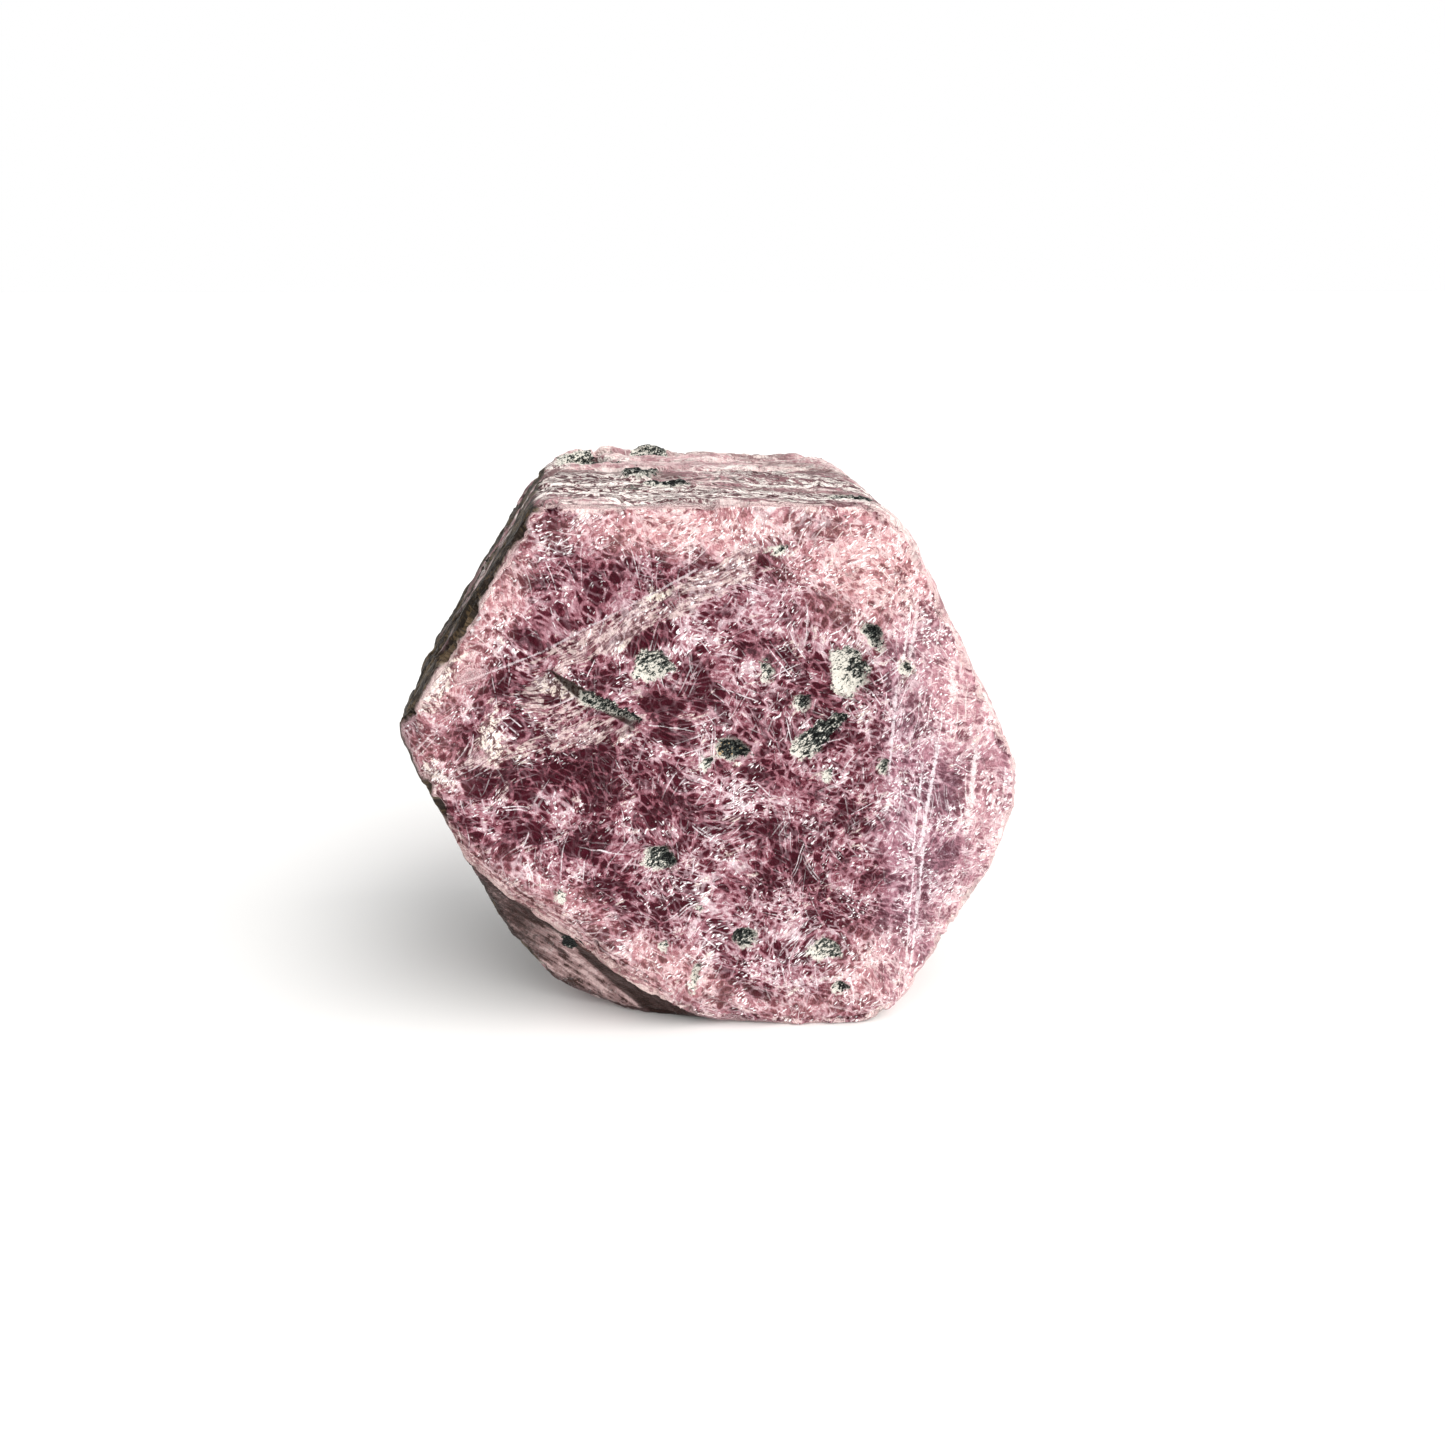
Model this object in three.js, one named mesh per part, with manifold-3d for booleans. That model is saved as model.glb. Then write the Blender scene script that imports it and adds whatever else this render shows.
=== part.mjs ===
// A rough ruby: one six-sided corundum crystal that stands on a prism face, large basal face to the front.
// Millimetres, +Z up. It is built lying on its back basal face, and turned upright at the end:
// x runs across the crystal, y up its front face, and z from the back basal face to the front one.
import * as THREE from "three";
import { mergeVertices } from "three/addons/utils/BufferGeometryUtils.js";
import Module from "manifold-3d";

const wasm = await Module();
wasm.setup();

// Driving dimensions
const prismLength = 26; // between the two basal faces
const rimBevel = 0.35; // wear on the sharp rims of both basal faces
const clear = 2; // how far a cutter stands outside what it cuts
const front = prismLength; // height of the front basal face while the crystal lies on its back

// The prism's outline: corner, and how far its rounding reaches along both sides.
const outlineCorners = [
  { name: "top left", at: [-11.5, 37.0], round: 1.0 },
  { name: "top right", at: [9.9, 36.6], round: 0.9 },
  { name: "top right bevel", at: [12.0, 34.8], round: 0.9 },
  { name: "upper right", at: [19.5, 20.7], round: 1.3 },
  { name: "right", at: [20.3, 17.4], round: 1.3 },
  { name: "right heel", at: [19.4, 13.2], round: 1.3 },
  { name: "lower right", at: [18.3, 10.4], round: 1.3 },
  { name: "foot right", at: [12.4, 1.2], round: 0.9 },
  { name: "foot edge", at: [10.4, 0], round: 0.7 },
  { name: "foot left", at: [-6.2, 0], round: 1.6 },
  { name: "lower left heel", at: [-11.4, 1.7], round: 1.4 },
  { name: "lower left", at: [-14.1, 5.3], round: 1.6 },
  { name: "left", at: [-21.2, 22.2], round: 1.0 },
];

// Growth steps on the prism faces: thin strips that run across the face, parallel to the basal faces.
// Each face gets its own run of them, some standing and some shaved away.
const steppedFaces = [
  { from: "top left", to: "top right", steps: 10, seed: 21 },
  { from: "top right bevel", to: "upper right", steps: 9, seed: 5 },
  { from: "upper right", to: "right", steps: 4, seed: 31 },
  { from: "right", to: "right heel", steps: 5, seed: 30 },
  { from: "lower right", to: "foot right", steps: 8, seed: 12 },
  { from: "lower left", to: "left", steps: 9, seed: 3 },
  { from: "left", to: "top left", steps: 10, seed: 17 },
];
const step = {
  thickness: [0.5, 2.4], // front to back
  share: [0.35, 1.15], // of the face's width
  shave: [0.16, 0.55],
  slant: 1.1, // how far a strip's two ends differ from front to back
  wander: 0.4,
  spacing: 2.8,
};

// Rough knobs of crystal that stand proud of the upper faces, towards the back.
const knobs = [
  { at: [-12.4, 31.9, 5.4], radii: [2.4, 2.7, 6.4], turn: -0.52 },
  { at: [-14.5, 29.8, 12.4], radii: [1.6, 3.4, 4.4], turn: -0.52 },
  { at: [-18.3, 24.4, 19.2], radii: [1.3, 2.2, 3.2], turn: -0.52 },
  { at: [-8.1, 36.2, 2.6], radii: [3.2, 1.3, 3.2], turn: 0 },
  { at: [-3.7, 36.2, 2.2], radii: [1.9, 1.45, 2.4], turn: 0.1 },
  { at: [0.6, 36.2, 2.8], radii: [5.4, 0.8, 3.0], turn: 0 },
  { at: [4.4, 36.1, 2.6], radii: [1.9, 1.1, 2.6], turn: -0.1 },
  { at: [16.6, 25.2, 7.0], radii: [1.6, 3.4, 4.2], turn: 0.46 },
  { at: [-16.8, 12.6, 8.4], radii: [1.4, 3.2, 3.8], turn: 0.4 },
];

// Flat breaks across the rims: a point on each, and the way it faces.
const breaks = [
  { at: [0, 0, 0], facing: [0, 0, -1] },
  { at: [8.8, -0.3, front], facing: [-0.12, -0.86, 0.49] },
  { at: [-4.6, 1.6, front], facing: [-0.3, -0.72, 0.62] },
  { at: [15.6, 6.0, front], facing: [0.62, -0.4, 0.68] },
  { at: [17.1, 25.4, front - 0.1], facing: [0.66, 0.34, 0.67] },
  { at: [-12.6, 35.2, front], facing: [-0.6, 0.45, 0.66] },
  { at: [-19.6, 22.6, front], facing: [-0.72, 0.05, 0.69] },
  { at: [16.2, 24.6, 0.5], facing: [0.62, 0.36, -0.7] },
  { at: [9.0, 3.4, 0.2], facing: [0.3, -0.66, -0.69] },
  { at: [-15.2, 11.2, 0.5], facing: [-0.66, -0.34, -0.67] },
  { at: [-10.4, 34.6, 0.1], facing: [-0.25, 0.6, -0.76] },
  { at: [18.9, 16.0, 0.6], facing: [0.75, -0.1, -0.65] },
];

// Long scallops worn into the prism's edges.
const gouges = [
  { at: [-13.0, 36.3, 2.0], radii: [1.5, 1.3, 8.0], turn: -0.52 },
  { at: [12.6, 36.6, 4.0], radii: [1.4, 1.2, 5.0], turn: 0.5 },
  { at: [-18.4, 28.7, 16.0], radii: [1.4, 2.6, 7.0], turn: -0.52 },
  { at: [-22.0, 22.6, 9.0], radii: [1.3, 1.6, 4.2], turn: 0 },
  { at: [21.2, 19.6, 10.0], radii: [1.3, 1.8, 4.6], turn: 0.2 },
  { at: [20.2, 11.0, 16.0], radii: [1.3, 1.6, 3.6], turn: -0.3 },
  { at: [-14.9, 3.9, 10.0], radii: [1.3, 1.5, 5.0], turn: 0.6 },
];

// The corner that broke away at the lower left of the front face. Its wall follows this line,
// two thin layers show along the wall's upper half, and the floor falls away outwards.
const brokenCorner = {
  wall: [
    [-17.9, 13.8],
    [-16.3, 12.1],
    [-14.1, 9.8],
    [-11.9, 8.3],
    [-10.3, 7.3],
    [-9.4, 6.1],
    [-7.7, 4.8],
    [-5.5, 3.2],
    [-3.2, 1.7],
    [-0.6, 0.1],
  ],
  outside: [
    [-1.5, -3],
    [-14, -3],
    [-23, 8],
  ],
  wallDepth: 1.2,
  fall: 0.6, // floor depth gained per millimetre outwards
  outwards: [-0.624, -0.781],
  layers: [
    { inset: 0.55, depth: 0.5 },
    { inset: 1.3, depth: 0.22 },
  ],
  layeredPoints: 5, // how much of the wall the layers follow
};

// The three-cornered notch: a steep wall from head to tip, and a floor that rises away from it.
const notch = {
  head: [-11.2, 26.3],
  tip: [-5.1, 22.6],
  floor: [
    [-6.4, 21.7],
    [-9.6, 21.2],
    [-12.6, 22.2],
    [-13.6, 24.3],
  ],
  depth: 0.95,
  run: 3.9, // how far the floor runs before it reaches the face
};

// Parts of the front face that lie a little lower than the rest of it.
const faceLevels = [
  { depth: 0.2, edge: [[-19.5, 24.9], [-12.0, 27.1], [-4.0, 30.9], [4.8, 34.7], [6.4, 39], [-15, 39]] },
  { depth: 0.14, edge: [[12.0, 38], [12.2, 25.0], [12.9, 14.0], [13.4, 0], [24, 0], [24, 38]] },
  { depth: 0.3, edge: [[15.2, 32], [15.3, 19.0], [16.1, 11.0], [16.4, 4], [24, 4], [24, 32]] },
  { depth: 0.16, edge: [[-24, 18.6], [-16.4, 19.2], [-11.2, 20.5], [-7, 18.4], [-9, 13.5], [-24, 15.5]] },
];

// Shallow shells flaked off the front rim, deepest along their back line and running out to nothing.
const rimFlakes = [
  { line: [[-1.2, 3.0], [2.4, 0.9], [5.2, -0.2]], toward: [-0.5, -0.87], reach: 3.2, depth: 0.4 },
  { line: [[1.6, 3.6], [5.2, 1.5], [7.6, 0.2]], toward: [-0.5, -0.87], reach: 1.6, depth: 0.26 },
  { line: [[-14.6, 32.6], [-11.6, 34.1], [-9.6, 35.2]], toward: [-0.45, 0.9], reach: 2.6, depth: 0.5 },
  { line: [[5.4, 34.4], [6.2, 33.0], [8.2, 31.6]], toward: [0.75, 0.66], reach: 5.4, depth: 0.3 },
];

// Growth terraces on the back face: three-cornered pockets turned with the crystal's own symmetry.
const backTerraces = [
  { at: [2.5, 20.5], side: 17, turn: 0, depth: 0.45 },
  { at: [4.4, 22.2], side: 8.5, turn: 0, depth: 0.8 },
  { at: [-9.5, 14.0], side: 6.5, turn: 0, depth: 0.4 },
  { at: [-6.0, 30.0], side: 5.2, turn: 0, depth: 0.35 },
  { at: [11.5, 10.5], side: 6.0, turn: 0, depth: 0.5 },
];

// Small chips all round both basal rims.
const chips = { spacing: 3.0, length: [0.8, 2.2], height: [0.5, 0.9], bite: [0.12, 0.5], seed: 9 };

// Mica grains in the front face sit in shallow pits: centre, half sizes along and across, turn and depth.
const frontPits = [
  { at: [-4.5, 26.3], half: [1.35, 1.15], turn: 0.1, depth: 0.34 },
  { at: [8.4, 25.7], half: [1.25, 1.7], turn: 0.12, depth: 0.5 },
  { at: [9.7, 28.2], half: [0.62, 1.05], turn: 0.5, depth: 0.42 },
  { at: [5.2, 23.8], half: [0.72, 0.55], turn: 0.3, depth: 0.34 },
  { at: [6.9, 21.6], half: [1.75, 0.66], turn: 0.72, depth: 0.46 },
  { at: [5.5, 20.2], half: [1.0, 0.62], turn: 0.35, depth: 0.4 },
  { at: [0.7, 20.6], half: [1.25, 0.75], turn: -0.1, depth: 0.4 },
  { at: [-3.9, 13.2], half: [1.2, 0.95], turn: -0.15, depth: 0.48 },
  { at: [1.7, 7.1], half: [0.95, 0.78], turn: -0.5, depth: 0.5 },
  { at: [7.2, 6.1], half: [1.25, 0.85], turn: 0.05, depth: 0.36 },
  { at: [8.3, 3.1], half: [0.66, 0.42], turn: 0, depth: 0.36 },
  { at: [-1.9, 4.5], half: [0.3, 1.05], turn: -0.25, depth: 0.26 },
  { at: [2.9, 26.0], half: [0.42, 0.78], turn: 0.25, depth: 0.24 },
  { at: [10.8, 19.3], half: [0.34, 0.6], turn: -0.2, depth: 0.26 },
  { at: [-10.3, 6.9], half: [0.6, 0.5], turn: 0.4, depth: 0.9 },
  { at: [11.9, 26.0], half: [0.45, 0.5], turn: 0, depth: 0.24 },
];

// Grain pits on the top prism face: place across it, distance behind the front rim, half sizes and depth.
const topPits = [
  { across: -4.9, behind: 13.2, half: [1.2, 1.3], depth: 0.5 },
  { across: 8.9, behind: 2.9, half: [1.4, 0.7], depth: 0.42 },
  { across: -8.4, behind: 20.6, half: [2.0, 1.6], depth: 0.5 },
  { across: -5.3, behind: 6.2, half: [1.1, 0.6], depth: 0.34 },
  { across: -3.0, behind: 8.0, half: [1.5, 0.7], depth: 0.34 },
];

// Grain pits in the back face.
const backPits = [
  { at: [-8.0, 22.5], half: [1.4, 1.0], turn: 0.6, depth: 0.5 },
  { at: [9.0, 29.5], half: [1.0, 0.8], turn: 0.2, depth: 0.4 },
  { at: [-1.5, 9.5], half: [1.6, 0.9], turn: -0.5, depth: 0.5 },
  { at: [14.6, 19.0], half: [0.8, 1.2], turn: 0.3, depth: 0.45 },
  { at: [-12.8, 27.0], half: [0.7, 0.9], turn: 0, depth: 0.4 },
];

// Healed fractures stand up from the front face as bundles of low, sharp ridges.
const ridgeBundles = [
  { from: [-11.4, 26.7], to: [4.4, 33.9], width: 1.7, ridges: 4, height: 0.22 },
  { from: [-17.4, 20.4], to: [-5.4, 22.5], width: 1.5, ridges: 3, height: 0.2 },
  { from: [11.6, 30.4], to: [12.0, 20.6], width: 1.6, ridges: 3, height: 0.12 },
  { from: [12.6, 19.8], to: [13.0, 4.4], width: 1.3, ridges: 3, height: 0.14 },
];

const rubyColour = new THREE.Color(0.52, 0.25, 0.3);

// A repeatable sequence of numbers from 0 to 1.
function numberSource(seed) {
  let state = seed;
  return () => {
    state = (state * 1664525 + 1013904223) % 4294967296;
    return state / 4294967296;
  };
}

const between = (random, [low, high]) => low + (high - low) * random();

// A closed geometry as a solid that can be joined and cut.
function solidFrom(geometry) {
  const bare = geometry.clone();
  bare.deleteAttribute("normal");
  bare.deleteAttribute("uv");
  const merged = mergeVertices(bare, 1e-4);
  return new wasm.Manifold(
    new wasm.Mesh({
      numProp: 3,
      vertProperties: new Float32Array(merged.attributes.position.array),
      triVerts: new Uint32Array(merged.index.array),
    }),
  );
}

function geometryFrom(solid) {
  const { vertProperties, triVerts } = solid.getMesh();
  return new THREE.BufferGeometry()
    .setAttribute("position", new THREE.BufferAttribute(new Float32Array(vertProperties), 3))
    .setIndex(new THREE.BufferAttribute(new Uint32Array(triVerts), 1));
}

const cornerAt = (name) =>
  new THREE.Vector2(...outlineCorners.find((corner) => corner.name === name).at);

// The outline as a shape, with each corner rounded by a curve.
function outlineShape() {
  const shape = new THREE.Shape();
  outlineCorners.forEach((corner, i) => {
    const here = new THREE.Vector2(...corner.at);
    const before = new THREE.Vector2(...outlineCorners.at(i - 1).at);
    const after = new THREE.Vector2(...outlineCorners[(i + 1) % outlineCorners.length].at);
    const into = before.sub(here).setLength(corner.round).add(here);
    const outOf = after.sub(here).setLength(corner.round).add(here);
    if (i === 0) shape.moveTo(into.x, into.y);
    else shape.lineTo(into.x, into.y);
    shape.quadraticCurveTo(here.x, here.y, outOf.x, outOf.y);
  });
  shape.closePath();
  return shape;
}

// The prism between the two basal faces, with worn rims.
function prism() {
  const geometry = new THREE.ExtrudeGeometry(outlineShape(), {
    depth: prismLength - 2 * rimBevel,
    steps: 1,
    curveSegments: 3,
    bevelThickness: rimBevel,
    bevelSize: rimBevel,
    bevelOffset: -rimBevel,
    bevelSegments: 2,
  });
  return solidFrom(geometry.translate(0, 0, rimBevel));
}

// A cutter for the front face: it stands on floorHeight(x, y) and reaches out past the face.
function pocket(points, floorHeight) {
  const shape = new THREE.Shape(points.map(([x, y]) => new THREE.Vector2(x, y)));
  const geometry = new THREE.ExtrudeGeometry(shape, { depth: 1, bevelEnabled: false });
  const position = geometry.attributes.position;
  for (let i = 0; i < position.count; i++) {
    const atFloor = position.getZ(i) < 0.5;
    const height = floorHeight(position.getX(i), position.getY(i));
    position.setZ(i, atFloor ? height : front + clear);
  }
  return solidFrom(geometry);
}

// The same cutter for the back face: mirrored through the middle of the prism.
function backPocket(points, floorDepth) {
  const cutter = pocket(points, (x, y) => prismLength - floorDepth(x, y));
  return cutter.mirror([0, 0, 1]).translate([0, 0, prismLength]);
}

// One growth step: a strip of a prism face, cut to a plane parallel to it, with wandering edges.
function stepCutter(face, behind, random) {
  const start = cornerAt(face.from);
  const along = cornerAt(face.to).sub(start);
  const width = along.length();
  along.normalize();
  const outward = new THREE.Vector2(-along.y, along.x);
  const strip = Math.min(between(random, step.share), 1) * (width + 2 * clear);
  const left = -clear + random() * (width + 2 * clear - strip);
  const thickness = between(random, step.thickness);
  const slant = step.slant * (random() - 0.5);
  const count = Math.max(3, Math.ceil(strip / step.spacing));
  const nearEdge = [];
  const farEdge = [];
  for (let i = 0; i <= count; i++) {
    const across = left + (strip * i) / count;
    const middle = behind + slant * (i / count - 0.5) + step.wander * (random() - 0.5);
    const half = thickness * (i === 0 || i === count ? 0.1 : 0.3 + 0.25 * random());
    nearEdge.push(new THREE.Vector2(across, middle - half));
    farEdge.unshift(new THREE.Vector2(across, middle + half));
  }
  const shape = new THREE.Shape([...nearEdge, ...farEdge]);
  const geometry = new THREE.ExtrudeGeometry(shape, { depth: clear, bevelEnabled: false });
  const cut = start.addScaledVector(outward, -between(random, step.shave));
  const placing = new THREE.Matrix4()
    .makeBasis(
      new THREE.Vector3(along.x, along.y, 0),
      new THREE.Vector3(0, 0, -1),
      new THREE.Vector3(outward.x, outward.y, 0),
    )
    .setPosition(cut.x, cut.y, front);
  return solidFrom(geometry.applyMatrix4(placing));
}

function stepCutters(face) {
  const random = numberSource(face.seed);
  return Array.from({ length: face.steps }, (_, i) => {
    const behind = (prismLength * (i + random())) / face.steps;
    return stepCutter(face, behind, random);
  });
}

// A lumpy ball, squashed and turned about the prism's axis.
function lump(at, radii, turn, random, roughness) {
  const detail = Math.max(...radii) > 1.6 ? 2 : 1;
  const ball = new THREE.IcosahedronGeometry(1, detail).deleteAttribute("uv").deleteAttribute("normal");
  const geometry = mergeVertices(ball, 1e-4);
  const position = geometry.attributes.position;
  for (let i = 0; i < position.count; i++) {
    const grow = 1 + roughness * (random() - 0.5);
    position.setXYZ(i, position.getX(i) * grow, position.getY(i) * grow, position.getZ(i) * grow);
  }
  geometry.scale(...radii).rotateZ(turn).translate(...at);
  return solidFrom(geometry);
}

// Everything on the outer side of a plane, as one block.
function breakCutter(plane) {
  const reach = 40;
  const facing = new THREE.Vector3(...plane.facing).normalize();
  const geometry = new THREE.BoxGeometry(2 * reach, 2 * reach, reach).translate(0, 0, reach / 2);
  geometry.applyQuaternion(new THREE.Quaternion().setFromUnitVectors(new THREE.Vector3(0, 0, 1), facing));
  return solidFrom(geometry.translate(...plane.at));
}

// Chips round both rims: long shallow scoops that lie along the rim.
function chipCutters() {
  const random = numberSource(chips.seed);
  const cutters = [];
  outlineCorners.forEach((corner, i) => {
    const here = new THREE.Vector2(...corner.at);
    const next = new THREE.Vector2(...outlineCorners[(i + 1) % outlineCorners.length].at);
    const along = next.clone().sub(here).normalize();
    const outward = new THREE.Vector2(-along.y, along.x);
    const count = Math.round(here.distanceTo(next) / chips.spacing);
    const onFoot = here.y + next.y < 1;
    for (let k = 0; k < count && !onFoot; k++) {
      const height = between(random, chips.height);
      const bite = between(random, chips.bite);
      const point = here.clone().lerp(next, (k + random()) / count).addScaledVector(outward, height - bite);
      const radii = [between(random, chips.length), height, height];
      const rim = random() < 0.55 ? front : 0;
      cutters.push(lump([point.x, point.y, rim], radii, along.angle(), random, 0.35));
    }
  });
  return cutters;
}

function brokenCornerCutters() {
  const { wall, outside, wallDepth, fall, outwards, layers, layeredPoints } = brokenCorner;
  const [startX, startY] = wall[1];
  const floor = (x, y) => {
    const out = (x - startX) * outwards[0] + (y - startY) * outwards[1];
    return front - wallDepth - fall * out;
  };
  const thinLayers = layers.map(({ inset, depth }) => {
    const followed = wall.slice(0, layeredPoints);
    const edge = followed.map(([x, y]) => [x - outwards[0] * inset, y - outwards[1] * inset]);
    return pocket([...edge, wall[layeredPoints + 1], ...outside.slice(1)], () => front - depth);
  });
  return [pocket([...wall, ...outside], floor), ...thinLayers];
}

function notchCutter() {
  const { head, tip, floor, depth, run } = notch;
  const wall = new THREE.Vector2(tip[0] - head[0], tip[1] - head[1]).normalize();
  const away = new THREE.Vector2(wall.y, -wall.x);
  const height = (x, y) => {
    const distance = (x - head[0]) * away.x + (y - head[1]) * away.y;
    return front - depth * (1 - distance / run);
  };
  return pocket([head, ...floor.toReversed(), tip], height);
}

// A shell flaked off a rim: deepest along its back line, and running out to the face.
function flakePoints(flake) {
  const outer = flake.line.map(([x, y]) => [
    x + flake.toward[0] * flake.reach,
    y + flake.toward[1] * flake.reach,
  ]);
  return [...flake.line, ...outer.reverse()];
}

function terracePoints(terrace) {
  const radius = terrace.side / Math.sqrt(3);
  return [0, 1, 2].map((i) => {
    const angle = terrace.turn + Math.PI / 2 + (i * 2 * Math.PI) / 3;
    return [terrace.at[0] + radius * Math.cos(angle), terrace.at[1] + radius * Math.sin(angle)];
  });
}

// A low sharp ridge along the front face: a stretched octahedron, sunk below its middle.
function ridge(from, to, width, height) {
  const length = Math.hypot(to[0] - from[0], to[1] - from[1]);
  const sunk = 0.2;
  const geometry = new THREE.OctahedronGeometry(1, 0)
    .scale(length / 2, width / 2, height + sunk)
    .rotateZ(Math.atan2(to[1] - from[1], to[0] - from[0]))
    .translate((from[0] + to[0]) / 2, (from[1] + to[1]) / 2, front - sunk);
  return solidFrom(geometry);
}

function ridgesOf(bundle, random) {
  const run = new THREE.Vector2(bundle.to[0] - bundle.from[0], bundle.to[1] - bundle.from[1]);
  const across = new THREE.Vector2(-run.y, run.x).normalize();
  return Array.from({ length: bundle.ridges }, (_, i) => {
    const aside = bundle.width * (i / (bundle.ridges - 1) - 0.5);
    const start = 0.35 * random();
    const stop = 1 - 0.35 * random();
    const point = (share) => [
      bundle.from[0] + run.x * share + across.x * aside,
      bundle.from[1] + run.y * share + across.y * aside,
    ];
    return ridge(point(start), point(stop), (bundle.width * 1.3) / bundle.ridges, bundle.height);
  });
}

function rubyCrystal() {
  const random = numberSource(7);
  const pitRoughness = 0.12;
  const knobRoughness = 0.3;
  const pitCutter = (pit, height) =>
    lump([...pit.at, height], [...pit.half, pit.depth], pit.turn, random, pitRoughness);
  const topY = cornerAt("top left").y - 0.25;

  let crystal = prism();
  for (const knob of knobs) {
    crystal = crystal.add(lump(knob.at, knob.radii, knob.turn, random, knobRoughness));
  }
  const cutters = [
    ...steppedFaces.flatMap(stepCutters),
    ...breaks.map(breakCutter),
    ...chipCutters(),
    ...gouges.map((gouge) => lump(gouge.at, gouge.radii, gouge.turn, random, knobRoughness)),
    ...faceLevels.map((level) => pocket(level.edge, () => front - level.depth)),
  ];
  for (const cutter of cutters) crystal = crystal.subtract(cutter);
  for (const bundle of ridgeBundles) {
    for (const low of ridgesOf(bundle, random)) crystal = crystal.add(low);
  }

  const fineCutters = [
    ...brokenCornerCutters(),
    notchCutter(),
    ...rimFlakes.map((flake) => {
      const [[x0, y0]] = flake.line;
      return pocket(flakePoints(flake), (x, y) => {
        const out = (x - x0) * flake.toward[0] + (y - y0) * flake.toward[1];
        return front - flake.depth * Math.max(0.1, 1 - out / flake.reach);
      });
    }),
    ...frontPits.map((pit) => pitCutter(pit, front)),
    ...topPits.map(({ across, behind, half: [wide, long], depth }) =>
      lump([across, topY, front - behind], [wide, depth, long], 0, random, pitRoughness),
    ),
    ...backTerraces.map((terrace) => backPocket(terracePoints(terrace), () => terrace.depth)),
    ...backPits.map((pit) => pitCutter(pit, 0)),
  ];
  for (const cutter of fineCutters) crystal = crystal.subtract(cutter);
  const [whole] = crystal.decompose().sort((a, b) => b.volume() - a.volume()); // crumbs cut loose fall away
  return geometryFrom(whole);
}

const crystalGeometry = rubyCrystal();
crystalGeometry.rotateX(Math.PI / 2); // the front basal face turns to -Y, and the foot to the ground
crystalGeometry.computeBoundingBox();
const middle = crystalGeometry.boundingBox.getCenter(new THREE.Vector3());

const ruby = new THREE.Group();
const crystal = new THREE.Mesh(
  crystalGeometry,
  new THREE.MeshStandardMaterial({ color: rubyColour, roughness: 0.45, metalness: 0, flatShading: true }),
);
crystal.name = "ruby_crystal";
crystal.position.set(-middle.x, -middle.y, 0);
ruby.add(crystal);

export default ruby;
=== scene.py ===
# A rough ruby crystal on a pale floor.
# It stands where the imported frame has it, in metres; places and sizes on it are given in millimetres.
import math

import bpy
import numpy as np
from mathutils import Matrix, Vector, noise
from mathutils.bvhtree import BVHTree


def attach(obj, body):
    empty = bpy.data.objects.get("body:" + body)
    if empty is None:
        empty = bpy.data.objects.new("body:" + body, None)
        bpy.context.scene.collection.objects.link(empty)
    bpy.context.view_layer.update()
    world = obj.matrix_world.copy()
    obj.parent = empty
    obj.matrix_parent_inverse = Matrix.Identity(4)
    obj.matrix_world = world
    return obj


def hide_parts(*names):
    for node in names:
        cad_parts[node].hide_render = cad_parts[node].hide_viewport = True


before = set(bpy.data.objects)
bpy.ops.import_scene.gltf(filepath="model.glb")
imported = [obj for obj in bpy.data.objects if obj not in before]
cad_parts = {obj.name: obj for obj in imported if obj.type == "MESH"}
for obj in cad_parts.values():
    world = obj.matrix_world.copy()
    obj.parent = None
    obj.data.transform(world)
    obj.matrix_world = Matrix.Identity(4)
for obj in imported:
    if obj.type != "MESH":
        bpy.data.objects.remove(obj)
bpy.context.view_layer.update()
mm = 0.001
print("frame loaded")


# The crystal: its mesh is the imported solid's, made fine and worked over.
crystalShape = {
    "faceSize": 0.268,  # edge of the mesh's faces
    "rimSoftness": 6,  # rounds of smoothing for what is worked out from the normals
    "wearRounds": 14,  # the same for the wear on edges
    "rimWear": 0.7,  # how much of the way worn rims move towards their neighbourhood's middle
    "fullWear": 0.2,  # how far a wholly worn place stands out from its neighbourhood
    "sharpAngle": 42,  # folds sharper than this stay sharp
    # The growth lines' bend on the top face: the stretch across where they bend, and how strongly.
    "growthBend": {"from": -14.0, "to": 11.0, "shift": 6.0, "by": 0.012},
    # Where one kind of surface gives way to the next: the two values between which it does. The facing ones
    # are how squarely a face looks out, from 0 to 1.
    "limits": {
        "basalFacing": (0.42, 0.62),
        "topFacing": (0.6, 0.85),
        "rightFacing": (0.4, 0.7),
        "leftFacing": (0.45, 0.8),
        "upper": (18, 22),  # height from which knobs and pits belong to the prism faces
        "upperFront": (-8, -5),  # how far back the front face goes there, and how far forward the back face
        "upperBack": (-9, -7),
        "leftRim": (11, 14),  # the worn rim of the front face: how far left, and how high
        "leftRimUp": (22, 26),
        "notch": (1.5, 4.0),  # distance from the notch's wall
        "topGrains": 30,  # height of the top face's grains
        "rearTop": (-1, 6),  # how far back the top is bleached
        "rightRim": (6, 11),  # how far forward the right faces are bleached
        "fullStainAndShade": (-12, -4),  # how far back the left faces are stained and painted with shade all over
        "upright": (10.0, 12.5),  # how far right the fibres stand upright, and up to what height
        "uprightUp": (27, 32),
        "nearFront": (3, 7),  # how far forward the broken corner's layers show
        "browned": (9.5, 13.5),  # how far left the broken corner is brown
        "layered": (1, 5),  # how far left its layers show
    },
}
farAway = 9.0  # from every grain or mark
markReach = 0.9  # how far to its sides a straight mark can show

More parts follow.
